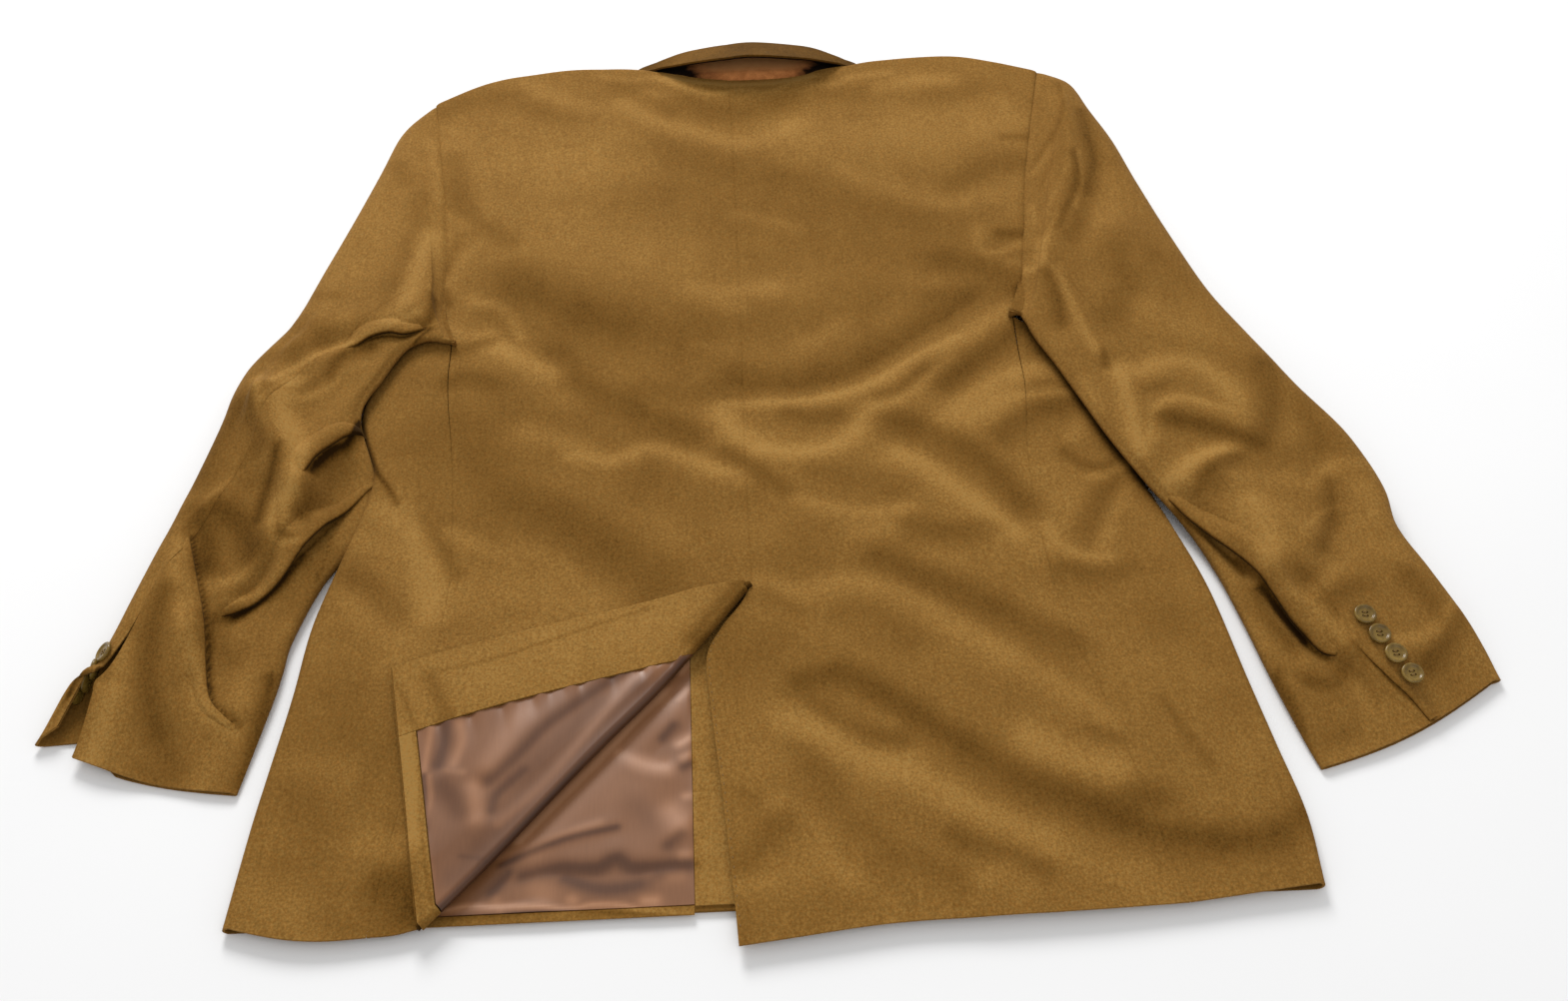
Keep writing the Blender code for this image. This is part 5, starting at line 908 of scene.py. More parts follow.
class Finish:
    """A material with one Principled shader."""

    def __init__(self, name, **constants):
        self.material = bpy.data.materials.new(name)
        self.material.use_nodes = True
        self.tree = self.material.node_tree
        self.shader = self.tree.nodes["Principled BSDF"]
        for key, value in constants.items():
            self.shader.inputs[key.replace("_", " ")].default_value = value

    def node(self, kind, settings=None, output=0, **inputs):
        made = self.tree.nodes.new(kind)
        for key, value in (settings or {}).items():
            setattr(made, key, value)
        for key, value in inputs.items():
            socket = made.inputs[int(key)] if key.isdigit() else made.inputs[key]
            if isinstance(value, Socket):
                self.tree.links.new(value.output, socket)
            else:
                socket.default_value = value
        return Socket(self, made.outputs[output])

    def ramp(self, place, *stops):
        """A colour for each place, from stops of (place, colour)."""
        colour = self.node("ShaderNodeValToRGB", Fac=place)
        elements = colour.output.node.color_ramp.elements
        while len(elements) < len(stops):
            elements.new(0.5)
        for element, (at, rgb) in zip(elements, stops):
            element.position, element.color = at, (*rgb, 1)
        return colour

    def mixed(self, colour, other):
        """One colour multiplied by another."""
        return self.node("ShaderNodeMix", {"data_type": "RGBA", "blend_type": "MULTIPLY"},
                         output=2, **{"0": 1.0, "6": colour, "7": other})

    def feed(self, **inputs):
        """Link sockets to the shader's own inputs."""
        for key, value in inputs.items():
            self.tree.links.new(value.output, self.shader.inputs[key.replace("_", " ")])

    def noise(self, scale, detail, stretch=(1, 1, 1), rough=0.5):
        """Noise of the object's own place, drawn out where the stretch is below 1."""
        where = self.node("ShaderNodeTexCoord", output="Object")
        where = self.node("ShaderNodeMapping", Vector=where, Scale=stretch)
        return self.node("ShaderNodeTexNoise", {"noise_dimensions": "3D"}, Vector=where,
                         Scale=scale, Detail=detail, Roughness=rough)

    def read(self, name):
        """An attribute of the mesh."""
        return self.node("ShaderNodeAttribute", {"attribute_name": name}, output="Fac")

    def bump(self, height, strength, distance):
        return self.node("ShaderNodeBump", Height=height, Strength=strength,
                         Distance=distance)


# %% [markdown]
# ### Suede
# Microsuede is a fine brushed knit, with fine grain and a soft sheen at grazing angles.
# Its broad pale and brown patches are painted light and shade: the tone of each point
# comes from a mesh attribute that holds the strokes' painted light and shade, so colour
# and folds agree. A ramp turns tone into colour.

# %% Suede, and a slightly darker, less blue copy for the sides, fronts, under sleeves and hems
PAINT_LOW, PAINT_HIGH = -2.4, 1.4


def suede(name, tint):
    finish = Finish(name, Sheen_Weight=0.06, Sheen_Roughness=0.45,
                    Sheen_Tint=(1.0, 0.66, 0.26, 1), Specular_IOR_Level=0.07)
    grain = finish.noise(620, 5.0, (1, 0.8, 1), 0.75)
    flecks = finish.noise(760, 2.0, (0.8, 1, 1), 0.6)
    blotch = finish.noise(34, 4.0, (1, 0.8, 1), 0.6)
    cloud = finish.noise(9, 3.0, (1, 1, 1), 0.6)
    thread = finish.noise(420, 2.0, (1, 0.06, 1))
    nap = finish.read("nap")
    grainy = nap.math("MINIMUM", nap.math("MAXIMUM", nap * 0.35 + 1.05, 0.35), 1.2)
    tone = (nap + (grain - 0.5) * 5.0 * grainy + (blotch - 0.5) * 1.0
            + (cloud - 0.5) * 0.8 + (thread - 0.5) * 0.5)
    place = (tone - PAINT_LOW) * (1 / (PAINT_HIGH - PAINT_LOW))
    # the ramp runs from the painted shade of a deep crease, near black, to a painted highlight
    stops = [(-2.4, (0.022, 0.009, 0.001)), (-1.5, (0.098, 0.044, 0.006)),
             (-0.9, (0.152, 0.071, 0.012)), (0.0, (0.212, 0.104, 0.021)),
             (0.8, (0.284, 0.147, 0.033)), (1.4, (0.335, 0.183, 0.046))]
    colour = finish.ramp(place, *[
        ((t - PAINT_LOW) / (PAINT_HIGH - PAINT_LOW), tuple(c * k for c, k in zip(rgb, tint)))
        for t, rgb in stops])
    hue = finish.ramp(flecks, (0.3, (1.06, 0.97, 0.86)), (0.7, (0.95, 1.02, 1.10)))
    colour = finish.mixed(colour, hue)
    finish.feed(Base_Color=colour, Roughness=0.86 - nap * 0.07,
                Normal=finish.bump(grain, 0.45, 0.0006))
    return finish.material


suede_cloth = suede("suede", (1.0, 1.0, 1.0))
suede_side = suede("suede_side", (0.985, 0.985, 0.98))
print("suede stops from", PAINT_LOW, "to", PAINT_HIGH)

# %% [markdown]
# ### Lining, undercollar and buttons
# The lining is a satin: smooth, with a tight thread across and soft glints, partly its own
# shine and partly painted highlights from the strokes. The undercollar is melton, a
# felted wool. The buttons are horn-coloured resin.


# %% Satin, melton, horn and thread
def satin_cloth():
    finish = Finish("satin", Specular_IOR_Level=0.4)
    thread = finish.noise(1400, 2.0, (1, 0.05, 1))
    cloud = finish.noise(30, 2.0)
    tone = finish.read("nap") + (thread - 0.5) * 0.35 + (cloud - 0.5) * 0.3
    stops = [(-1.6, (0.048, 0.017, 0.006)), (-0.8, (0.105, 0.040, 0.015)),
             (0.0, (0.205, 0.085, 0.033)), (0.8, (0.310, 0.138, 0.060)),
             (1.6, (0.470, 0.235, 0.120))]
    colour = finish.ramp((tone + 1.6) * (1 / 3.2), *[((t + 1.6) / 3.2, rgb) for t, rgb in stops])
    finish.feed(Base_Color=colour, Roughness=0.36 + (cloud - 0.5) * 0.1,
                Normal=finish.bump(thread, 0.12, 0.0002))
    return finish.material


def melton_cloth():
    finish = Finish("melton", Sheen_Weight=0.03, Specular_IOR_Level=0.05)
    felt = finish.noise(2200, 4.0, (1, 1, 1), 0.7)
    cloud = finish.noise(160, 3.0)
    # the attribute holds the felt's painted light and shade; its painted shade takes the felt down
    # to black under the fall
    place = finish.read("nap") * 0.3 + felt * 0.6 + cloud * 0.4
    colour = finish.ramp(place, (0.0, (0.008, 0.003, 0.001)), (0.3, (0.460, 0.165, 0.050)),
                         (0.5, (0.740, 0.300, 0.095)), (0.8, (0.860, 0.400, 0.145)))
    finish.feed(Base_Color=colour, Roughness=0.92 + (cloud - 0.5) * 0.08,
                Normal=finish.bump(felt, 0.5, 0.0004))
    return finish.material


def horn_resin():
    finish = Finish("button_resin", Specular_IOR_Level=0.36)
    streak = finish.noise(190, 3.0, (1, 0.25, 1))
    cloud = finish.noise(420, 2.0)
    colour = finish.ramp(streak * 0.7 + cloud * 0.3, (0.25, (0.080, 0.044, 0.006)),
                         (0.5, (0.165, 0.098, 0.016)), (0.75, (0.270, 0.170, 0.034)))
    finish.feed(Base_Color=colour, Roughness=0.20 + cloud * 0.12,
                Normal=finish.bump(cloud, 0.06, 0.0003))
    return finish.material


def sewing_thread():
    finish = Finish("sewing_thread", Specular_IOR_Level=0.3)
    twist = finish.noise(3000, 2.0)
    colour = finish.ramp(twist, (0.3, (0.150, 0.082, 0.022)), (0.7, (0.300, 0.175, 0.060)))
    finish.feed(Base_Color=colour, Roughness=0.6 + twist * 0.2)
    return finish.material


satin, melton = satin_cloth(), melton_cloth()
horn, thread = horn_resin(), sewing_thread()
print("finishes:", len(bpy.data.materials))

# %% [markdown]
# ## The back
# Two panels meet at the centre-back seam, and run from the hem up over the shoulder.
# The left one carries on round the fold beside the vent. Near a seam the cloth rolls
# down a little, and its tone takes a painted shade, which is what draws the seam.

# %% Stations shared by the seams
SEAM_SHARES = np.linspace(0, 1, 18 * DETAIL + 1)
ARM_SHARES = np.linspace(0, 1, 15 * DETAIL + 1)
coarse = np.concatenate([[0.0, 0.03, 0.09], np.linspace(0.18, 1, 9)])
vent_shares = np.interp(np.linspace(0, 11, 11 * DETAIL + 1), np.arange(12), coarse)
side_line = {
    "right": np.vstack([through(SEAM_RIGHT)(SEAM_SHARES),
                        through(ARMHOLE_RIGHT)(ARM_SHARES)[1:]]),
    "left": np.vstack([through(SEAM_LEFT)(SEAM_SHARES),
                       through(ARMHOLE_LEFT)(ARM_SHARES)[1:]]),
}
centre_line = through(CENTRE)(np.linspace(0, 1, 22 * DETAIL + 1))
fold_line = through(FOLD_LINE)(vent_shares)
inset = (FOLD_RADIUS + CLOTH) * np.clip(vent_shares / 0.03, 0, 1)
fold_line = fold_line + (sideways(fold_line, -1.0) - fold_line) * inset[:, None]
under_line = through(VENT_UNDER)(1 - vent_shares[::-1])
print("rows up the back:", 33 * DETAIL + 1)


# %% Back panels
# Depth and width: how far the cloth rolls down beside a seam, and how much painted shade darkens
# it
SEAM_ROLL, SEAM_SHADE, SEAM_LINE_SHADE = (0.025, 0.08), (0.3, 0.05), (0.35, 0.05)
ARMHOLE_ROLL, ARMHOLE_SHADE = (0.16, 0.18), (0.8, 0.10)


def edged(count):
    """Shares across a panel, closer together beside its two seams."""
    close = np.array((0.0, 0.0012, 0.003, 0.006, 0.011))
    return np.concatenate([close, np.linspace(0.018, 0.982, count), 1 - close[::-1]])


def roll_down(away, depth, width):
    """How far the cloth drops beside an edge, by the distance from it."""
    return depth * np.exp(-np.abs(away) / width)


def back_panel(side):
    """Points and tones of one back, from the hem up to the shoulder and over it."""
    right = side == "right"
    lower = under_line if right else fold_line[::-1]
    inner = np.vstack([lower, centre_line[1:]])
    inner = sideways(inner, -SEAM / 2 if right else -0.012)
    outer = sideways(side_line[side], SEAM / 2 if right else -SEAM / 2)
    u = edged(10 * DETAIL)
    hem = through(HEM_RIGHT if right else HEM_LEFT)(u)
    top = through(SHOULDER_RIGHT if right else SHOULDER_LEFT)(u)
    for line, end in ((hem, 0), (top, -1)):
        line += (1 - u)[:, None] * (inner[end] - line[0])
        line += u[:, None] * (outer[end] - line[-1])
    plan = patch(inner, outer, hem, top, u)
    x, y = plan[..., 0], plan[..., 1]
    z = surface(x, y)
    shade = tone(x, y)
    row_width = np.linalg.norm(outer - inner, axis=1)[:, None]
    from_inner, from_outer = u[None] * row_width, (1 - u[None]) * row_width
    rows = np.arange(len(inner))[:, None]
    seamed = rows > 11 * DETAIL
    armhole = rows > 18 * DETAIL
    z = z - np.where(seamed, roll_down(from_inner, *SEAM_ROLL), 0)
    z = z - np.where(armhole, roll_down(from_outer, *ARMHOLE_ROLL),
                     roll_down(from_outer, *SEAM_ROLL))
    # beside the seams and at the armhole the tone takes a painted shade, as in a groove
    shade = shade - np.where(seamed, roll_down(from_inner, *SEAM_LINE_SHADE), 0)
    shade = shade - np.where(armhole, roll_down(from_outer, *ARMHOLE_SHADE),
                             roll_down(from_outer, *SEAM_SHADE))
    points = lift(plan, z)
    last, before = points[-1], points[-2]
    out = unit(last[:, :2] - before[:, :2])
    # the shoulders turn down over their edge, but the neck runs on flat to its seam
    share = np.clip((np.abs(last[:, 0] - NECK_MIDDLE) - NECK_HALF) / 1.6, 0, 1)[:, None]
    turned, turned_light = [points], [shade]
    for k, turn in enumerate(np.linspace(0, 95, 2 * DETAIL + 1)[1:], 1):
        a = math.radians(turn)
        row = last.copy()
        row[:, :2] += out * (0.75 * math.sin(a))
        row[:, 2] -= 0.9 * (1 - math.cos(a))
        flat = last + np.array([0, 0.18 * k / (2 * DETAIL), 0.0])
        turned.append((flat + (row - flat) * share)[None])
        # a painted light that grows as the edge turns down
        turned_light.append((shade[-1] + 0.5 * turn / 95)[None])
    return np.concatenate(turned), np.concatenate(turned_light)


back_points = {side: back_panel(side) for side in ("left", "right")}
neck_edge = np.vstack([back_points["left"][0][-1][::-1], back_points["right"][0][-1]])

# %% [markdown]
# ### The folded corner
# Below the vent's top the left back turns over a fold line and lies on itself, inside
# out. `flap_point` gives any point of it: t runs down the fold, u across the flap, and
# below 0 round the fold. The facing and lining use it too, each a little further out.

# %% Points of the folded corner
fold_across = left_of(fold_line)
flap_edge = through(VENT_EDGE)
CORNER_LIFT = 0.25  # cm that the free corner stands up


def at_fold(t, values):
    return np.stack([np.interp(t, vent_shares, values[:, k]) for k in (0, 1)], -1)


def flap_point(t, u, out, relief=None):
    t, u, out = np.broadcast_arrays(np.asarray(t, float), u, out)
    base, across, edge = at_fold(t, fold_line), at_fold(t, fold_across), flap_edge(t)
    flat = base + np.clip(u, 0, 1)[..., None] * (edge - base)
    turn = np.clip(-u, 0, 1) * math.pi
    inside = FOLD_RADIUS * np.clip(0.6 + 2.5 * t, 0, 1)  # tighter at the vent's top
    radius = inside + out
    flat = flat + across * (radius * np.sin(turn))[..., None]
    middle = surface(flat[..., 0], flat[..., 1]) + inside
    at_base = surface(base[..., 0], base[..., 1]) + inside
    near = np.clip(np.where(u <= 0, 1.0, 1 - u * 6), 0, 1)  # nearness to the fold
    middle = near * at_base + (1 - near) * middle
    corner = CORNER_LIFT * np.clip(u, 0, 1) ** 2 * t ** 2
    high = middle + corner + radius * np.cos(turn)
    if relief is not None:
        high = high + relief.read(relief.height, flat[..., 0], flat[..., 1]) * ease(u * 8)
    return np.concatenate([flat, high[..., None]], -1)


def flap_length(t):
    return float(np.linalg.norm(flap_edge(t) - at_fold(t, fold_line)))


def facing_from(t):
    """Where the facing starts: so far from the vent's edge as it is wide."""
    return max(0.0, 1 - FACING_WIDTH * 1.02 / flap_length(t))


# %% Make the two backs
left_points, left_tone = back_points["left"]
flap_t = np.linspace(0.004, 1, 11 * DETAIL + 1)[:, None]
flap_u = np.concatenate([np.linspace(-1, 0, 2 * DETAIL), np.linspace(0, 1, 3 * DETAIL)[1:]])
flap = flap_point(flap_t, flap_u[None], 0.0)
flap_long = np.array([flap_length(t) for t in flap_t[:, 0]])[:, None]
# the flap's cloth is set 0.4 darker, with a painted shade that deepens toward the fold and is
# darkest round it
flap_painted_shade = (-0.4 - 1.1 * np.exp(-np.clip(flap_u, 0, 1) * flap_long / 0.9)
             - np.clip(-2 * flap_u, 0, 1))
back_left = wall("back_left_cloth", [(left_points, left_tone, CLOTH, True),
                                     (flap, flap_painted_shade, CLOTH, True)], suede_cloth)
lay(back_left, left_points, "back_left")
right_points, right_tone = back_points["right"]
back_right = wall("back_right_cloth", [(right_points, right_tone, CLOTH, False)],
                  suede_cloth)
lay(back_right, right_points, "back_right")


# %% [markdown]
# ## The side panels
# The underarm panels turn round the edge of the flat body and run a little way under,
# so the edge is a soft roll and not a cut.

# %% Side panels
def side_panel(side):
    """One side panel, from its seam round the edge. Returns the end that lies under."""
    right = side == "right"
    sign = 1 if right else -1
    seam = sideways(side_line[side], -sign * SEAM / 2)[:len(SEAM_SHARES)]
    seam[:, 0] += sign * 0.07 * np.clip(SEAM_SHARES * 4 - 3, 0, 1)
    edge = through(EDGE_RIGHT if right else EDGE_LEFT)(SEAM_SHARES)
    top = plain_height(edge[:, 0], edge[:, 1]) * 0.86
    radius = top / 2
    centre = edge - np.stack([sign * radius, 0 * radius], 1)
    rows, shades = [], []
    for k in edged(4 * DETAIL)[:-6]:
        plan = seam + (centre - seam) * k
        away = k * np.linalg.norm(centre - seam, axis=1)
        if not right:
            plan[:, 1] -= HEM_BOW * math.sin(math.pi * k) * np.clip(1 - SEAM_SHARES * 5, 0, 1)
            bow = ARMHOLE_BOW * max(0.0, math.sin(math.pi * k)) ** 0.6
            plan[:, 1] += bow * np.clip(SEAM_SHARES * 5 - 4, 0, 1)
        high = surface(plan[:, 0], plan[:, 1])
        high = high + (top - high) * k ** 2 - roll_down(away, *SEAM_ROLL)
        rows.append(lift(plan, high))
        shades.append(tone(plan[:, 0], plan[:, 1]) - roll_down(away, *SEAM_SHADE))
    # round the edge the strokes' tone fades into a painted shade that deepens as the cloth turns
    # under, and the part under the body keeps a painted shade of -0.9
    for turn in np.linspace(0, 180, 2 * DETAIL + 1):
        a = math.radians(turn)
        plan = centre + np.stack([sign * radius * math.sin(a), 0 * radius], 1)
        rows.append(lift(plan, radius + radius * math.cos(a)))
        shades.append(tone(plan[:, 0], plan[:, 1]) * (1 + math.cos(a)) / 2 - 0.9 * turn / 180)
    inside = np.minimum(EDGE_REACH - radius, np.abs(centre[:, 0] - seam[:, 0]) + 3.0)
    for k in (0.25, 0.5, 0.75, 1.0):
        plan = centre - np.stack([sign * inside * k, 0 * inside], 1)
        rows.append(lift(plan, 0 * inside))
        shades.append(0 * inside - 0.9)
    points = np.stack(rows, 1)
    made = wall(f"side_{side}_cloth", [(points, np.stack(shades, 1), CLOTH, not right)],
                suede_side)
    lay(made, points, f"side_{side}")
    return points[:, -1, :2]


under_end = {side: side_panel(side) for side in ("right", "left")}


# %% [markdown]
# ## The fronts
# The fronts lie face down under everything. Little of them shows, but the jacket rests
# on them, so they are there, as flat sheets.

# %% Fronts
def front_panel(side):
    right = side == "right"
    sign = 1 if right else -1
    pick = slice(None, None, 3)
    outer = np.vstack([under_end[side] - np.array([sign * SEAM, 0]),
                       side_line[side][len(SEAM_SHARES) + DETAIL:]
                       - np.array([sign * 0.08, 0])])[pick]
    inner = through(FRONT_EDGE_RIGHT if right else FRONT_EDGE_LEFT)(
        np.linspace(0, 1, len(outer)))
    v = np.linspace(0, 1, 25)[:, None]
    plan = patch(inner, outer, inner[0] + (outer[0] - inner[0]) * v,
                 inner[-1] + (outer[-1] - inner[-1]) * v, v[:, 0])
    over = FRONT + LAYER if right else 0.0
    low = over * (np.clip((9.6 - plan[..., 0]) / 2.0, 0, 1) if right else 0 * plan[..., 0])
    top, under = lift(plan, low + FRONT), lift(plan, low)
    made = wall(f"front_{side}_cloth", [(top, -0.5, under, not right)], suede_side)
    lay(made, top, f"front_{side}")


front_panel("right")
front_panel("left")


# %% [markdown]
# ## The sleeves
# A sleeve is a tube pressed flat, sewn from a wide top sleeve and a narrow under
# sleeve. Rings of points run round its sections. Each ring goes round the outer edge,
# over the top, round the inner edge and back below, and then it is smoothed.

# %% Rings of a sleeve
def ridge(table, x, y):
    """Height of the largest folds: soft ridges, or valleys, along short lines."""
    high = np.zeros(np.shape(x))
    for x0, y0, x1, y1, height, width in table:
        dx, dy = x1 - x0, y1 - y0
        t = np.clip(((x - x0) * dx + (y - y0) * dy) / (dx * dx + dy * dy), 0, 1)
        high = high + height * np.exp(-(np.hypot(x - x0 - t * dx, y - y0 - t * dy)
                                        / width) ** 2)
    return high


def outward(line, away_from):
    """Unit steps at right angles to a line, away from another one."""
    normal = left_of(line)
    side = np.sign(np.sum(normal * (line - away_from), axis=1))
    return normal * side[:, None]


def underside(raised, share):
    """Height of the under side across a sleeve: flat, then up to its inner end."""
    return raised * (1 - ease((0.86 - share) / 0.34))


def smoothed(values, times):
    for _ in range(times):
        values = np.concatenate([values[:1], 0.25 * values[:-2] + 0.5 * values[1:-1]
                                 + 0.25 * values[2:], values[-1:]])
    return values


COLS_U, COLS_OUT, COLS_IN, COLS_LOW = 2 * DETAIL, 6 * DETAIL, 4 * DETAIL, 2 * DETAIL
RINGS = 34 * DETAIL
CROWN = 0.88  # where the top meets the round of the outer edge, as a share of the height
# Shares of a sleeve's length in which its outer edge turns away from the shoulder, the
# armhole's curve fades, the rings leave the seam and the height leaves that of the back
TURNS, CURVES, LEAVES_SEAM, LEAVES_BACK = 0.12, 0.35, 0.045, 0.06


def sleeve(side):
    """Rings of points and tones from the armhole down to the cuff."""
    right = side == "right"
    shares = np.linspace(0, 1, RINGS)
    table = through(SLEEVE_RIGHT if right else SLEEVE_LEFT)(shares)
    outer_line, inner_line = table[:, 0:2], table[:, 2:4]
    out_o, out_i = outward(outer_line, inner_line), outward(inner_line, outer_line)
    across = unit(outer_line - inner_line)
    out_o = unit(across + (out_o - across) * np.clip(shares / TURNS, 0, 1)[:, None])
    armhole = side_line[side][len(SEAM_SHARES) - 1:][::-1]
    top_at = np.linspace(0, 1, len(armhole))
    bow = armhole - (armhole[0] + (armhole[-1] - armhole[0]) * top_at[:, None])
    folds = sleeve_folds[side]
    rings, shades = [], []
    for n, s in enumerate(shares):
        high, tuck, deep, low, seam, raised = table[n, 4:]
        raised = max(0.0, raised)
        width = np.linalg.norm(inner_line[n] - outer_line[n])
        edge_o = 1.05 * high / 2
        tall = max(FOLD_TALL, CROWN * min(high, low) - raised)
        edge_i = max(0.45, 0.55 * tall)
        start, end = outer_line[n] - out_o[n] * edge_o, inner_line[n] - out_i[n] * edge_i
        inside = 1 - (edge_o + edge_i) / width
        first, last = edge_o / width, 1 - edge_i / width
        # round the outer edge
        a = np.radians(np.linspace(-90, 90, COLS_U, endpoint=False))
        plan = [start + out_o[n] * (edge_o * np.cos(a))[:, None]]
        z, share = [high * (CROWN / 2) * (1 + np.sin(a))], [first + 0 * a]
        # over the top, past the seam and the deep fold
        middle = np.clip((seam - first) / inside, 0.03, 0.96)
        k = np.concatenate([np.linspace(0, middle, COLS_OUT),
                            np.linspace(middle, 1, COLS_IN + 1)[1:]])
        t = first + inside * k
        rise = high * (CROWN + 0.12 * np.sin(math.pi * np.minimum(1, t / max(tuck, 0.2))))
        beyond = 1 / (1 + np.exp(-(t - tuck) / 0.035))
        at = rise + (low - rise) * beyond - deep * np.exp(-((t - tuck) / 0.05) ** 2) * 0.8
        upper = start + (end - start) * k[:, None]
        plan.append(upper)
        z.append(np.maximum(at, underside(raised, t) + FOLD_TALL))
        share.append(t)
        # round the inner edge
        a = np.radians(np.linspace(90, -90, COLS_U + 1)[1:])
        plan.append(end + out_i[n] * (edge_i * np.cos(a))[:, None])
        z.append(raised + tall * 0.5 * (1 + np.sin(a)))
        share.append(last + 0 * a)
        # back below
        back = np.linspace(1, 0, COLS_LOW + 1)[1:-1]
        plan.append(start + (end - start) * back[:, None])
        z.append(underside(raised, first + inside * back))
        share.append(first + inside * back)
        plan, z, share = map(np.concatenate, (plan, z, share))
        # the first rings bend to the armhole, and the last ones bow out at the cuff
        bend = np.stack([np.interp(share, top_at, bow[:, j]) for j in (0, 1)], 1)
        plan = plan + bend * max(0.0, 1 - s / CURVES) ** 2
        seam_at = np.clip((share - first) / (last - first), 0, 1)
        seam_plan = np.stack([np.interp(seam_at, top_at, armhole[:, j]) for j in (0, 1)], 1)
        seam_plan[:, 0] -= 0.35 if right else -0.35
        seam_plan[:COLS_U] += 0.8 * (plan[:COLS_U] - start)
        plan = plan + (seam_plan - plan) * max(0.0, 1 - s / LEAVES_SEAM) ** 1.5
        plan[:, 1] -= CUFF_BOW * np.clip((s - 0.8) / 0.2, 0, 1) ** 2 * np.sin(math.pi * share)
        # folds on the top, level with the back at the armhole and thin at the cuff
        top = slice(COLS_U, COLS_U + len(k))
        least = underside(raised, share[top]) + FOLD_TALL
        crest = np.clip(np.minimum(k, 1 - k) * 8 + 0.3, 0, 1)
        x, y = plan[top].T
        settled = min(1, s * 10.5)
        folded = ridge(ARM_FOLDS[side], x, y) * settled
        folded = folded + folds.read(folds.height, x, y) * min(1, s * 20)
        z[top] = np.maximum(z[top] + folded * crest, least)
        beside = surface(x, y) - 0.30 * max(0.0, 1 - s / 0.02)
        z[top] += (beside - z[top]) * np.clip(1 - s / LEAVES_BACK, 0, 1)
        z[:COLS_U] *= z[COLS_U] / (CROWN * high)
        z *= 1 - 0.45 * ease((s - 0.94) / 0.06)
        z[1:-1] = smoothed(z, 5)[1:-1]
        above = np.zeros(len(z))
        above[top] = 1
        above[:COLS_U] = ease((np.linspace(-90, 90, COLS_U) + 30) / 90)
        above[top.stop:top.stop + COLS_U] = ease((np.linspace(90, -90, COLS_U) + 30) / 90)
        # the top takes the strokes' painted light and shade; the under side gets a painted shade
        # of -0.6, and the cloth right by the armhole one of -0.8
        shade = folds.read(folds.tone, plan[:, 0], plan[:, 1]) * above
        shade = shade - 0.6 * (1 - above) - 0.8 * roll_down(s * SLEEVE_LONG, 1, 0.2) * above
        rings.append(lift(plan, z))
        shades.append(shade)
    return np.stack(rings), np.stack(shades)


# %% Top and under sleeves
SLIT_FROM = 0.84  # the share of the sleeve's length at which its slit opens
# The rounded edge of a lip: how far out, how far down and how much painted shade it takes
LIP_OUT = np.array([[0.05], [0.07], [0.02], [-0.15]])
LIP_DROP, LIP_SHADE = np.array([0.15, 0.45, 0.85, 1.1]), np.array([-1.0, -2.2, -2.6, -2.6])
LIP_WALL, LIP_BESIDE = 0.05, 0.5


def opened_cuff(grid):
    """The left cuff's button edge, lifted and turned back from its slit at the end."""
    opened = grid.copy()
    last = len(grid) - 1
    for n in range(int(SLIT_FROM * last), last + 1):
        amount = float(ease((n / last - SLIT_FROM) / 0.16))
        slit = grid[n, -1]
        edge = grid[n, COLS_LOW + COLS_U // 2 - 1]
        along = grid[n, -1, :2] - grid[n - 1, -1, :2]
        along /= np.linalg.norm(along)
        out = (edge - slit)[:2]
        width = np.linalg.norm(out)
        away = np.linalg.norm(grid[n, :, :2] - slit[:2], axis=1)
        near = np.clip(1 - away / width, 0, 1)
        above = ease((np.arange(grid.shape[1]) - COLS_LOW - COLS_U // 2) / (COLS_U / 2))
        opened[n, :, :2] -= 1.5 * amount * near[:, None] * along
        opened[n, :, :2] += 0.55 * amount * (near * above)[:, None] * out
        opened[n, :, 2] += 0.35 * amount * near * above
    return opened


def height_over(tree, x, y):
    """Height of a sleeve at a point of the plan, or a low one beside it."""
    hit = tree.ray_cast((x, y, 20.0), (0, 0, -1))[0]
    return LIP_BESIDE if hit is None else hit[2]


def lip(tree, folds, rise, reach, end, *path):
    """A fold's lip: it grows out of the sleeve and ends in a rounded edge at a crease."""
    path = np.array(path).reshape(-1, 2)
    line = through(path)(np.linspace(0, 1, 2 * DETAIL * (len(path) - 1)))
    away = left_of(line)
    grown = np.sin(math.pi * np.linspace(0.0, end, len(line))) ** 0.8
    # across a lip, from the sleeve at 0 to its edge at 1, with its crest before the edge
    k = np.linspace(0, 1, DETAIL + 4)
    form = np.sin(0.74 * math.pi * k) * ease(k * 2)
    rows, tones = [], []
    for at, out, size in zip(line, away, grown):
        plan = at + out * (reach * (0.3 + 0.7 * size) * (1 - k))[:, None]
        under = np.array([height_over(tree, x, y) for x, y in plan])
        high = 0.5 * (np.maximum.accumulate(under) + under)
        high = high + rise * size * form - 0.06 * (1 - k) ** 3 - 0.12 * (1 - size) ** 3
        edge = at - out * LIP_OUT
        drop = (0.7 * rise + 0.08) * LIP_DROP
        rows.append(lift(np.concatenate([plan, edge]), np.concatenate([high, high[-1] - drop])))
        # the lip reads its tone a little away from the crease, so its crest keeps the painted
        # light, and it darkens toward its edge with painted shade
        bright = plan + out * (0.35 * k)[:, None]
        shade = folds.read(folds.tone, bright[:, 0], bright[:, 1])
        tones.append(np.concatenate([shade - 0.5 * k ** 4,
                                     np.minimum(shade[-1], 0) + LIP_SHADE]))
    return np.array(rows), np.array(tones), LIP_WALL, False


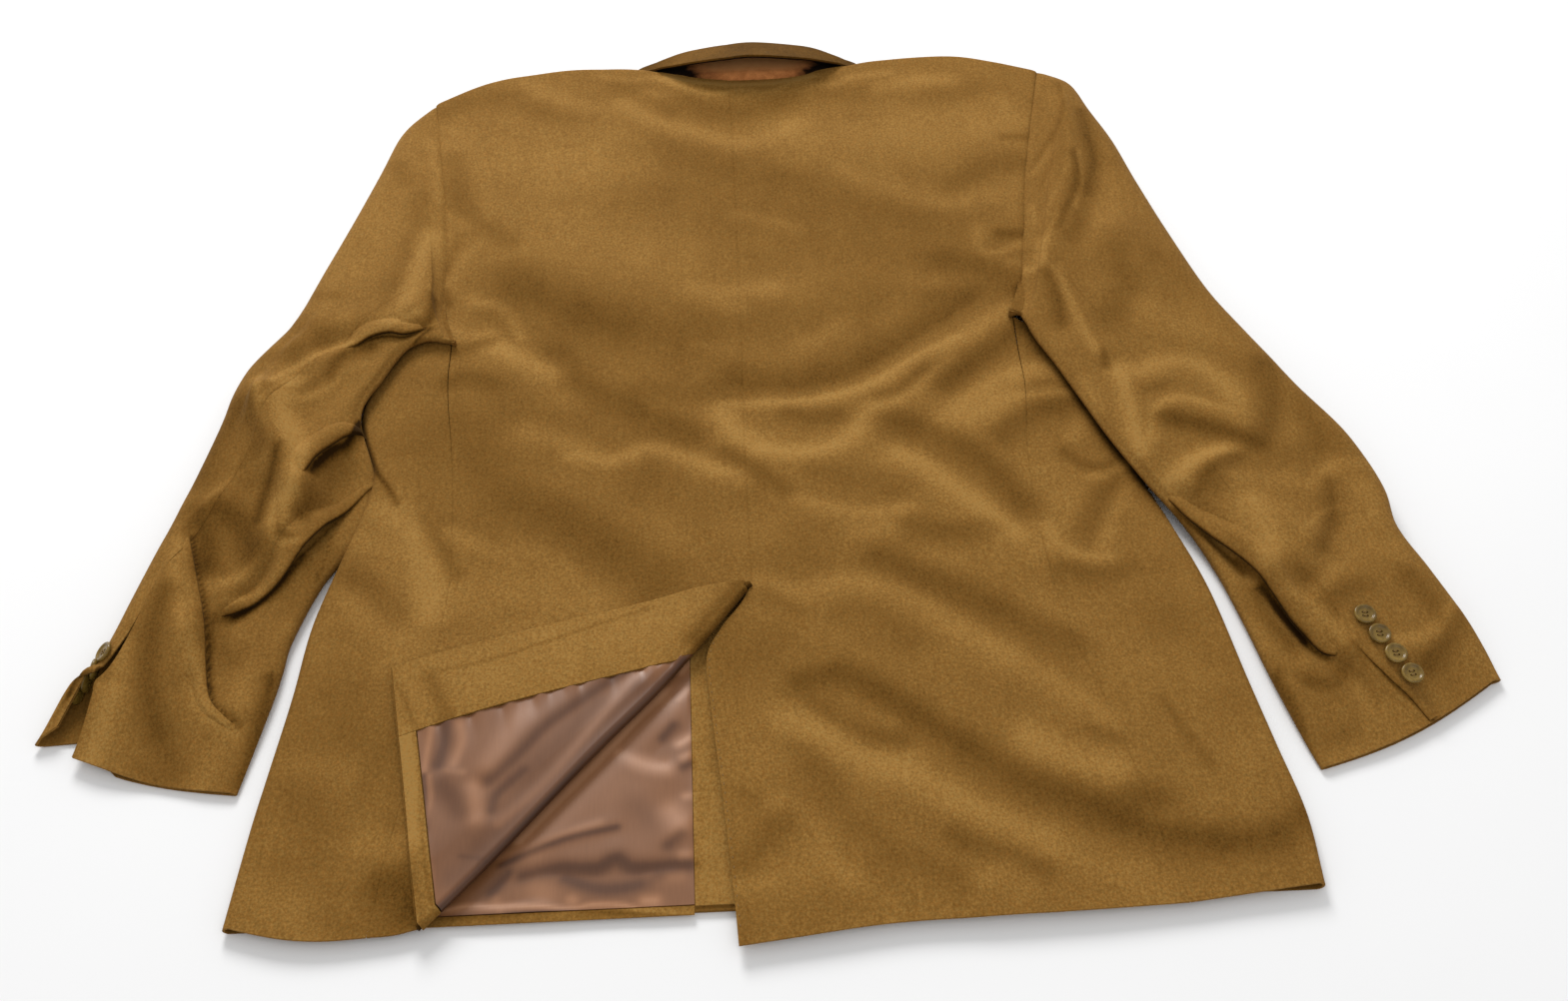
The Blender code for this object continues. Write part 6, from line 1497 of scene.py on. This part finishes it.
def sleeve_pieces(side):
    """Cut a sleeve's rings along its two seams, into the top and the under sleeve."""
    right = side == "right"
    rings, shades = sleeve(side)
    tree = BVHTree.FromPolygons(rings.reshape(-1, 3).tolist(),
                                quads(*rings.shape[:2], False, 0).tolist())
    lips = [lip(tree, sleeve_folds[side], *row)
            for row in (SLEEVE_LIPS_RIGHT if right else SLEEVE_LIPS_LEFT)]
    seam_col = COLS_U + COLS_OUT - 1
    bottom_col = seam_col + COLS_IN + COLS_U
    upper = list(range(bottom_col, rings.shape[1])) + list(range(0, seam_col + 1))
    under = list(range(seam_col, bottom_col + 1))
    for part, columns, finish, slot in (("top", upper, suede_cloth, "suede"),
                                        ("under", under, suede_side, "suede_side")):
        grid, shade = rings[:, columns].copy(), shades[:, columns].copy()
        own, other = (-1, -2) if part == "top" else (0, 1)
        grid[:, own] += unit(grid[:, other] - grid[:, own]) * SEAM
        grid[:, own, 2] -= 0.015
        # a faint painted shade along the seam
        shade[:, own] -= 0.2
        if part == "top" and not right:
            grid = opened_cuff(grid)
        made = wall(f"sleeve_{side}_{part}_cloth", [(grid, shade, CLOTH, not right)]
                    + (lips if part == "top" else []), finish)
        lay(made, grid, f"sleeve_{side}_{part}")


for side in ("right", "left"):
    sleeve_pieces(side)


# %% [markdown]
# ## The collar
# The collar stands up from the neck seam, rolls over and falls back. It is lifted here,
# so the reddish melton undercollar shows in the gap. Both layers share one section.

# %% Collar layers
def collar_grid(out, short):
    """A layer of the collar, so far out from the first, its fall shorter by so much."""
    stations = through(COLLAR)
    rows = []
    for s in np.linspace(0, 1, 12 * DETAIL + 1):
        x, off, z, stand, fall, rise = stations(s)
        y = float(np.interp(x, neck_edge[:, 0], neck_edge[:, 1])) + off
        before, after = stations(max(0.0, s - 0.02)), stations(min(1.0, s + 0.02))
        slope = math.atan2(after[2] - before[2], after[0] - before[0])
        tilt = math.radians(rise)
        section = [(-0.5, -out - 0.45)] + [(stand * k, -out)
                                           for k in np.linspace(0, 1, 2 * DETAIL - 1)]
        radius = ROLL_RADIUS + out
        for turn in np.linspace(0, 150, 2 * DETAIL)[1:]:
            a = math.radians(turn)
            section.append((stand + radius * math.sin(a), ROLL_RADIUS - radius * math.cos(a)))
        end = math.pi - tilt
        root = (stand + radius * math.sin(end), ROLL_RADIUS - radius * math.cos(end))
        for reach in np.linspace(0, fall - short, 3 * DETAIL):
            section.append((root[0] - reach * math.cos(tilt),
                            root[1] + reach * math.sin(tilt)))
        rows.append([(x - h * math.sin(slope), y + d, z + h * math.cos(slope))
                     for d, h in section])
    return np.array(rows)


# The felt's tone is painted light and shade: lit low on the stand, painted shade under the fall
# and at the gap's ends, with a darker foot.
FELT_LIT, FELT_DARKER, SHADE_ABOVE, SHADE_AT_ENDS, GAP_HALF = 1.4, 0.6, 3.6, 1.3, 4.9
under_collar = collar_grid(0.0, 0.15)
up_stand = np.clip(np.arange(under_collar.shape[1]) / (2 * DETAIL), 0, 1)
from_middle = np.abs(under_collar[..., 0] - NECK_MIDDLE)
in_shade = SHADE_ABOVE * np.clip(up_stand * 2.8 - 1.8, 0, 1)
in_shade = in_shade + SHADE_AT_ENDS * np.clip(from_middle / GAP_HALF, 0, 1.2) ** 4
felt_light_and_shade = FELT_LIT * np.clip(up_stand * 3, 0, 1) - FELT_DARKER - in_shade
made = wall("undercollar_melton", [(under_collar, felt_light_and_shade, MELTON, True)], melton)
lay(made, under_collar, "undercollar")
over_collar = collar_grid(MELTON + SEAM, 0.0)
# the top collar's tone is a painted shade of -1.6, lifted by 0.4 in a patch left of the middle
collar_painted_shade = 0.4 * np.exp(-((over_collar[..., 0] + 3.0) / 2.5) ** 2) - 1.6
made = wall("top_collar_cloth", [(over_collar, collar_painted_shade, CLOTH, True)], suede_cloth)
lay(made, over_collar, "top_collar")


# %% [markdown]
# ## What shows on the folded corner
# The inside of the corner has a cloth facing along the vent edge, a turned-up hem, and
# satin lining between them, eased in, so its edge puckers.

# %% Strips on the flap
def strip(name, node, ts, u_low, u_high, low, thick, finish, relief, cols,
          ripple=0.0, painted_light_by=0.0):
    """A strip of the flap at shares ts down the fold, between two shares across."""
    top, under, turned = [], [], []
    for t in ts:
        start, stop = u_low(t), u_high(t)
        bend = max(0.0, start + 0.02)
        us = np.concatenate([np.linspace(start, bend, DETAIL + 2)[:-1],
                             np.linspace(bend, stop, cols)])
        edge = np.exp(-np.abs(stop - us) * flap_length(t) / 0.7)
        # two uneven waves pucker the edge
        wave = ripple * edge * (math.sin(t * 83) + 0.6 * math.sin(t * 151 + 1.7))
        under.append(flap_point(t, us, low, relief))
        turned.append(np.clip(-us - 0.1, 0, 1))
        top.append(flap_point(t, us, low + thick + np.maximum(wave, -thick), relief))
    top, under = np.array(top), np.array(under)
    x, y = top[..., 0], top[..., 1]
    # round the fold the strip takes a painted shade, down to -3, and the whole strip may be lifted
    # by a painted light
    shade = relief.read(relief.tone, x, y) + painted_light_by - 3.0 * np.array(turned)
    made = wall(name, [(top, shade, under, False)], finish)
    lay(made, top, node)


def beside_facing(t):
    return facing_from(t) - 0.03 / flap_length(t)


strip("vent_facing_cloth", "vent_facing", np.linspace(0.02, 0.995, 12 * DETAIL),
      lambda t: facing_from(t) - 0.75 * float(ease((0.25 - t) / 0.06)), lambda t: 0.995,
      OVER, FACING, suede_cloth, flap_folds, 4 * DETAIL)
strip("vent_lining_satin", "vent_lining", np.linspace(0.215, HEM_SHARE - 0.002, 14 * DETAIL),
      lambda t: -0.95, beside_facing, OVER, LINING, satin, lining_folds,
      8 * DETAIL, ripple=0.05)
# the hem strip is lifted by a painted light of 0.7
strip("vent_hem_cloth", "vent_hem_facing", np.linspace(HEM_SHARE + 0.001, 0.995, 8),
      lambda t: -0.5, beside_facing, OVER, FACING, suede_side, flap_folds,
      8 * DETAIL, painted_light_by=0.7)


# %% What shows inside the vent
def behind_fold(y):
    return np.interp(y, fold_line[::-1, 1], fold_line[::-1, 0]) - 2.0


def window(name, node, y0, y1, right_x, left_x, thick, finish, rows, cols,
           painted_light_by=0.0):
    """A flat piece of the left front, from the line left_x(y) to right_x."""
    y = np.linspace(y0, y1, rows)[:, None] + np.zeros((1, cols))
    k = np.linspace(0, 1, cols)[None]
    x = left_x(y) + (right_x - left_x(y)) * k
    low = FRONT + SEAM + 0 * x
    relief = np.maximum(window_folds.read(window_folds.height, x, y), -0.02)
    relief = relief * ease((right_x - x) / 0.3 + 0.2)
    top = np.stack([x, y, low + thick + relief], -1)
    under = np.stack([x, y, low], -1)
    # the strokes paint light and shade into the piece's tone, and the whole piece may be lifted by
    # a painted light
    shade = window_folds.read(window_folds.tone, x, y) + painted_light_by
    made = wall(name, [(top, shade, under, False)], finish)
    lay(made, top, node)


window("front_lining_satin", "front_lining", 3.0, 22.5, -4.35, behind_fold, LINING, satin,
       12 * DETAIL, 10 * DETAIL)
# the facing is lifted by a painted light of 0.7
window("front_facing_cloth", "front_facing", 2.9, 24.0, -1.2, lambda y: -4.31 + 0 * y,
       FACING, suede_cloth, 12 * DETAIL, 3 * DETAIL, painted_light_by=0.7)
window("front_hem_cloth", "front_hem_facing", 2.35, 2.92, -4.35, lambda y: -20.5 + 0 * y,
       LINING, suede_side, 5, 10 * DETAIL)

# %% [markdown]
# ## Buttons
# Four-hole buttons are turned on a lathe: a raised rim, a dished middle and four
# drilled holes, sewn on with two double bars of thread. The Boolean modifier cuts the
# holes. The plane through the points of a solid button gives its place and tilt. The
# left ones are then set in and tilted more, as their cuff stands further open here.

# %% One button
BUTTON_RADIUS, BUTTON_HEIGHT, HOLE_RADIUS, HOLE_OUT = 0.0074, 0.0034, 0.00085, 0.0019
PROFILE = [(0.0, 0.0), (0.62, 0.0), (0.80, 0.10), (0.94, 0.34), (1.0, 0.62), (0.985, 0.80),
           (0.94, 0.93), (0.88, 1.0), (0.81, 0.98), (0.75, 0.90), (0.70, 0.78),
           (0.64, 0.70), (0.50, 0.655), (0.25, 0.64), (0.0, 0.635)]


def lathe(name, profile, steps=48):
    """A turned form. Its profile of (radius, height) starts and ends on the axis."""
    points = [(r * math.cos(2 * math.pi * k / steps), r * math.sin(2 * math.pi * k / steps), h)
              for r, h in profile[1:-1] for k in range(steps)]
    rings = len(profile) - 2
    faces = [(i * steps + k, i * steps + (k + 1) % steps,
              (i + 1) * steps + (k + 1) % steps, (i + 1) * steps + k)
             for i in range(rings - 1) for k in range(steps)]
    faces.append(tuple(range(steps - 1, -1, -1)))
    faces.append(tuple((rings - 1) * steps + k for k in range(steps)))
    mesh = bpy.data.meshes.new(name)
    mesh.from_pydata(points, [], faces)
    return linked(name, mesh)


def drilled_button():
    disc = lathe("button_form", [(r * BUTTON_RADIUS, h * BUTTON_HEIGHT) for r, h in PROFILE])
    for k in range(4):
        a = math.radians(45 + 90 * k)
        drill = lathe(f"drill_{k}", [(0, -0.001), (HOLE_RADIUS, -0.001),
                                     (HOLE_RADIUS, 0.006), (0, 0.006)], 16)
        drill.location = (HOLE_OUT * math.cos(a), HOLE_OUT * math.sin(a), 0)
        cut = disc.modifiers.new(f"hole_{k}", "BOOLEAN")
        cut.object, cut.operation, cut.solver = drill, "DIFFERENCE", "EXACT"
    bpy.context.view_layer.update()
    mesh = bpy.data.meshes.new_from_object(
        disc.evaluated_get(bpy.context.evaluated_depsgraph_get()))
    for o in [disc] + [o for o in bpy.data.objects if o.name.startswith("drill_")]:
        bpy.data.objects.remove(o, do_unlink=True)
    smooth(mesh, 40)
    return mesh


button_mesh = drilled_button()
print("faces of a button:", len(button_mesh.polygons))

# %% [markdown]
# ### Thread through the holes
# Geometry Nodes set small long beads along a path, each turned to it and swayed a
# little by chance. Set close, they look like a twisted thread, which sews every button.
# Set apart, they are the pick stitches along the vent.


# %% A tree that repeats stitches along a path
def stitch_tree():
    tree = bpy.data.node_groups.new("stitches", "GeometryNodeTree")
    face = tree.interface
    face.new_socket("Geometry", in_out="INPUT", socket_type="NodeSocketGeometry")
    for name, value in (("Spacing", 0.004), ("Length", 0.0016), ("Width", 0.0005),
                        ("Sway", 0.1)):
        face.new_socket(name, in_out="INPUT", socket_type="NodeSocketFloat").default_value = value
    face.new_socket("Seed", in_out="INPUT", socket_type="NodeSocketInt").default_value = 7
    face.new_socket("Thread", in_out="INPUT", socket_type="NodeSocketMaterial")
    face.new_socket("Geometry", in_out="OUTPUT", socket_type="NodeSocketGeometry")

    def node(kind, settings=None, **inputs):
        made = tree.nodes.new(kind)
        for key, value in (settings or {}).items():
            setattr(made, key, value)
        for key, value in inputs.items():
            socket = next(s for s in made.inputs if s.name == key.replace("_", " "))
            if isinstance(value, bpy.types.NodeSocket):
                tree.links.new(value, socket)
            else:
                socket.default_value = value
        return made

    asked = node("NodeGroupInput").outputs
    spaced = node("GeometryNodeResampleCurve", {"mode": "LENGTH"}, Curve=asked["Geometry"],
                  Length=asked["Spacing"])
    one = node("GeometryNodeMeshUVSphere", Segments=8, Rings=6, Radius=0.5)
    size = node("ShaderNodeCombineXYZ", X=asked["Width"], Y=asked["Width"], Z=asked["Length"])
    tangent = node("GeometryNodeInputTangent").outputs[0]
    turned = node("FunctionNodeAlignRotationToVector", {"axis": "Z"}, Vector=tangent)
    low = node("ShaderNodeMath", {"operation": "MULTIPLY"}, Value=asked["Sway"])
    low.inputs[1].default_value = -1.0
    sway = node("FunctionNodeRandomValue", {"data_type": "FLOAT"}, Seed=asked["Seed"])
    tree.links.new(low.outputs[0], next(s for s in sway.inputs if s.name == "Min" and s.enabled))
    tree.links.new(asked["Sway"], next(s for s in sway.inputs if s.name == "Max" and s.enabled))
    spin = node("ShaderNodeCombineXYZ")
    tree.links.new(next(s for s in sway.outputs if s.enabled), spin.inputs["Z"])
    placed = node("GeometryNodeInstanceOnPoints", Points=spaced.outputs[0],
                  Instance=one.outputs[0], Rotation=turned.outputs[0], Scale=size.outputs[0])
    swayed = node("GeometryNodeRotateInstances", Instances=placed.outputs[0],
                  Rotation=spin.outputs[0])
    real = node("GeometryNodeRealizeInstances", Geometry=swayed.outputs[0])
    sewn = node("GeometryNodeSetMaterial", Geometry=real.outputs[0], Material=asked["Thread"])
    out = node("NodeGroupOutput")
    tree.links.new(sewn.outputs[0], out.inputs[0])
    return tree


STITCHES = stitch_tree()


def socket_id(name):
    return next(i.identifier for i in STITCHES.interface.items_tree
                if i.name == name and i.in_out == "INPUT")


def sew(name, path, **sizes):
    """Stitches along a path of row-frame points, as one plain mesh."""
    curve = bpy.data.curves.new(name + "_path", "CURVE")
    curve.dimensions = "3D"
    spline = curve.splines.new("POLY")
    spline.points.add(len(path) - 1)
    spline.points.foreach_set("co", np.column_stack([path, np.ones(len(path))]).ravel())
    guide = linked(name + "_path", curve)
    modifier = guide.modifiers.new("stitches", "NODES")
    modifier.node_group = STITCHES
    for key, value in {**sizes, "Thread": thread}.items():
        modifier[socket_id(key)] = value
    bpy.context.view_layer.update()
    mesh = bpy.data.meshes.new_from_object(
        guide.evaluated_get(bpy.context.evaluated_depsgraph_get()))
    bpy.data.objects.remove(guide, do_unlink=True)
    made = linked(name, mesh)
    if not mesh.materials:
        mesh.materials.append(thread)
    smooth(mesh)
    return made


# %% Sew the buttons on
CUFF_EDGE, MORE_TILT = Vector((-0.38, -0.92, 0.0)), (5, 25, 30, 30)  # degrees round it
SET_IN = [(0.15, -0.35, 0.0), (0.5, -0.15, -0.2), (0.8, 0.0, -0.3), (1.0, 0.2, -0.3)]  # cm
BAR_LOW, BAR_BOW, BAR_HALF = 0.66, 0.0006, 0.0002  # share of the height, then metres


def seat_of(node):
    """The foot of a solid button, and the turn that lays a flat one on its plane."""
    points = np.array([v.co for v in frame["nodes"][node].data.vertices])
    points = np.unique(points.round(6), axis=0)
    middle = points.mean(0)
    axis = np.linalg.svd(points - middle)[2][2]
    axis = axis if axis[2] > 0 else -axis
    foot = middle + axis * ((points - middle) @ axis).min()
    return foot, Vector(axis).to_track_quat("Z", "Y").to_matrix().to_4x4()


def sewn_button(side, n):
    """A resin button on its solid's seat, and the thread through its four holes."""
    node = f"cuff_button_{side}_{n}"
    foot, turn = seat_of(node)
    if side == "left":
        turn = Matrix.Rotation(math.radians(MORE_TILT[n - 1]), 4, CUFF_EDGE) @ turn
        foot = foot + np.array(SET_IN[n - 1]) * 0.01
    turn.translation = Vector(foot)
    mesh = button_mesh.copy()
    mesh.name = node + "_resin"
    mesh.transform(turn)
    mesh.materials.append(horn)
    made = linked(node + "_resin", mesh)
    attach(made, ROOT)
    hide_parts(node)
    bars = []
    for sign in (-1, 1):
        reach = HOLE_OUT * math.cos(math.radians(45))
        k = np.linspace(-1, 1, 9)
        high = BUTTON_HEIGHT * BAR_LOW + BAR_BOW * (1 - k ** 2) - BAR_BOW * k ** 8
        for offset in (-BAR_HALF, BAR_HALF):
            path = np.stack([k * reach, sign * reach + offset + 0 * k, high], 1)
            path = np.array([turn @ Vector(p) for p in path])
            bars.append(sew(f"thread_{side}_{n}", path, Spacing=0.00045, Length=0.0007,
                            Width=0.00042, Sway=0.05, Seed=n))
    with bpy.context.temp_override(active_object=bars[0], selected_editable_objects=bars,
                                   object=bars[0], selected_objects=bars):
        bpy.ops.object.join()
    bars[0].name = f"button_thread_{side}_{n}"
    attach(bars[0], ROOT)


for side in ("right", "left"):
    for n in range(1, 5):
        sewn_button(side, n)

# %% [markdown]
# ## Stitches along the edge
# Tiny pick stitches hold the edge of the right back at the vent.


# %% Edge stitches
def on_grid(grid, row, col):
    """A point of a grid at whole or part row and column numbers, in the row frame."""
    i, j = int(row), int(col)
    fi, fj = row - i, col - j
    i2, j2 = min(i + 1, grid.shape[0] - 1), min(j + 1, grid.shape[1] - 1)
    point = ((grid[i, j] * (1 - fj) + grid[i, j2] * fj) * (1 - fi)
             + (grid[i2, j] * (1 - fj) + grid[i2, j2] * fj) * fi)
    return to_row(point)


def inset_column(grid, row, inset):
    """The column number that lies an inset in from a grid's first column."""
    steps = np.linalg.norm(np.diff(grid[row, :40], axis=0), axis=1)
    return float(np.interp(inset, np.concatenate([[0], np.cumsum(steps)]),
                           np.arange(len(steps) + 1)))


STITCH_INSET = 0.18  # cm
rows = range(DETAIL // 2, int(8.2 * DETAIL))  # from the hem up most of the vent
vent_path = np.array([on_grid(right_points, r, inset_column(right_points, r, STITCH_INSET))
                      + np.array([0, 0, 0.0001]) for r in rows])
vent_stitches = sew("vent_pick_stitches", vent_path, Spacing=0.0062, Length=0.0017,
                    Width=0.0007, Sway=0.25, Seed=3)
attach(vent_stitches, ROOT)
print("stitch faces:", len(vent_stitches.data.polygons))

# %% [markdown]
# ## Floor, light and camera
# A pale floor, a broad window light from beyond the collar, a soft fill, and the camera
# from the hem side, looking down at 50 degrees.

# %% Stage
CAMERA_AT, HEADING, PITCH, LENS = (-0.02815, -0.86033, 0.9347), 3.0, 50.0, 39.0
SKY = 0.62  # strength of the light from all around
FLOOR_HALF = 14


def floor_sheet():
    mesh = bpy.data.meshes.new("floor")
    mesh.from_pydata([(x * FLOOR_HALF, y * FLOOR_HALF, 0)
                      for x, y in ((-1, -1), (1, -1), (1, 1), (-1, 1))], [], [(0, 1, 2, 3)])
    finish = Finish("pale_floor", Roughness=0.9)
    cloud = finish.noise(3, 2.0)
    finish.feed(Base_Color=finish.ramp(cloud, (0.0, (0.86, 0.86, 0.86)),
                                       (1.0, (0.90, 0.90, 0.90))))
    mesh.materials.append(finish.material)
    made = linked("floor", mesh)
    made.location.z = -0.0005


def area_light(name, at, size, power):
    """A round light that is aimed at the middle of the jacket."""
    data = bpy.data.lights.new(name, "AREA")
    data.shape, data.size, data.energy = "DISK", size, power
    made = linked(name, data)
    made.location = at
    made.rotation_euler = (-Vector(at)).to_track_quat("-Z", "Y").to_euler()


floor_sheet()
area_light("window", (-0.5, 2.2, 1.7), 1.3, 66)
area_light("fill", (0.6, -1.4, 2.2), 2.0, 8)
world = bpy.data.worlds.new("studio")
world.use_nodes = True
background = world.node_tree.nodes["Background"]
background.inputs["Color"].default_value = (1, 1, 1, 1)
background.inputs["Strength"].default_value = SKY
bpy.context.scene.world = world
bpy.context.scene.view_settings.view_transform = "Standard"

# %% Camera
camera_data = bpy.data.cameras.new("camera")
camera_data.lens, camera_data.sensor_width = LENS, 36.0
camera_data.clip_start, camera_data.clip_end = 0.01, 50
camera = linked("camera", camera_data)
camera.location = CAMERA_AT
camera.rotation_euler = (math.radians(90 - PITCH), 0, -math.radians(HEADING))
bpy.context.scene.camera = camera
print("camera looks down by", PITCH, "degrees")
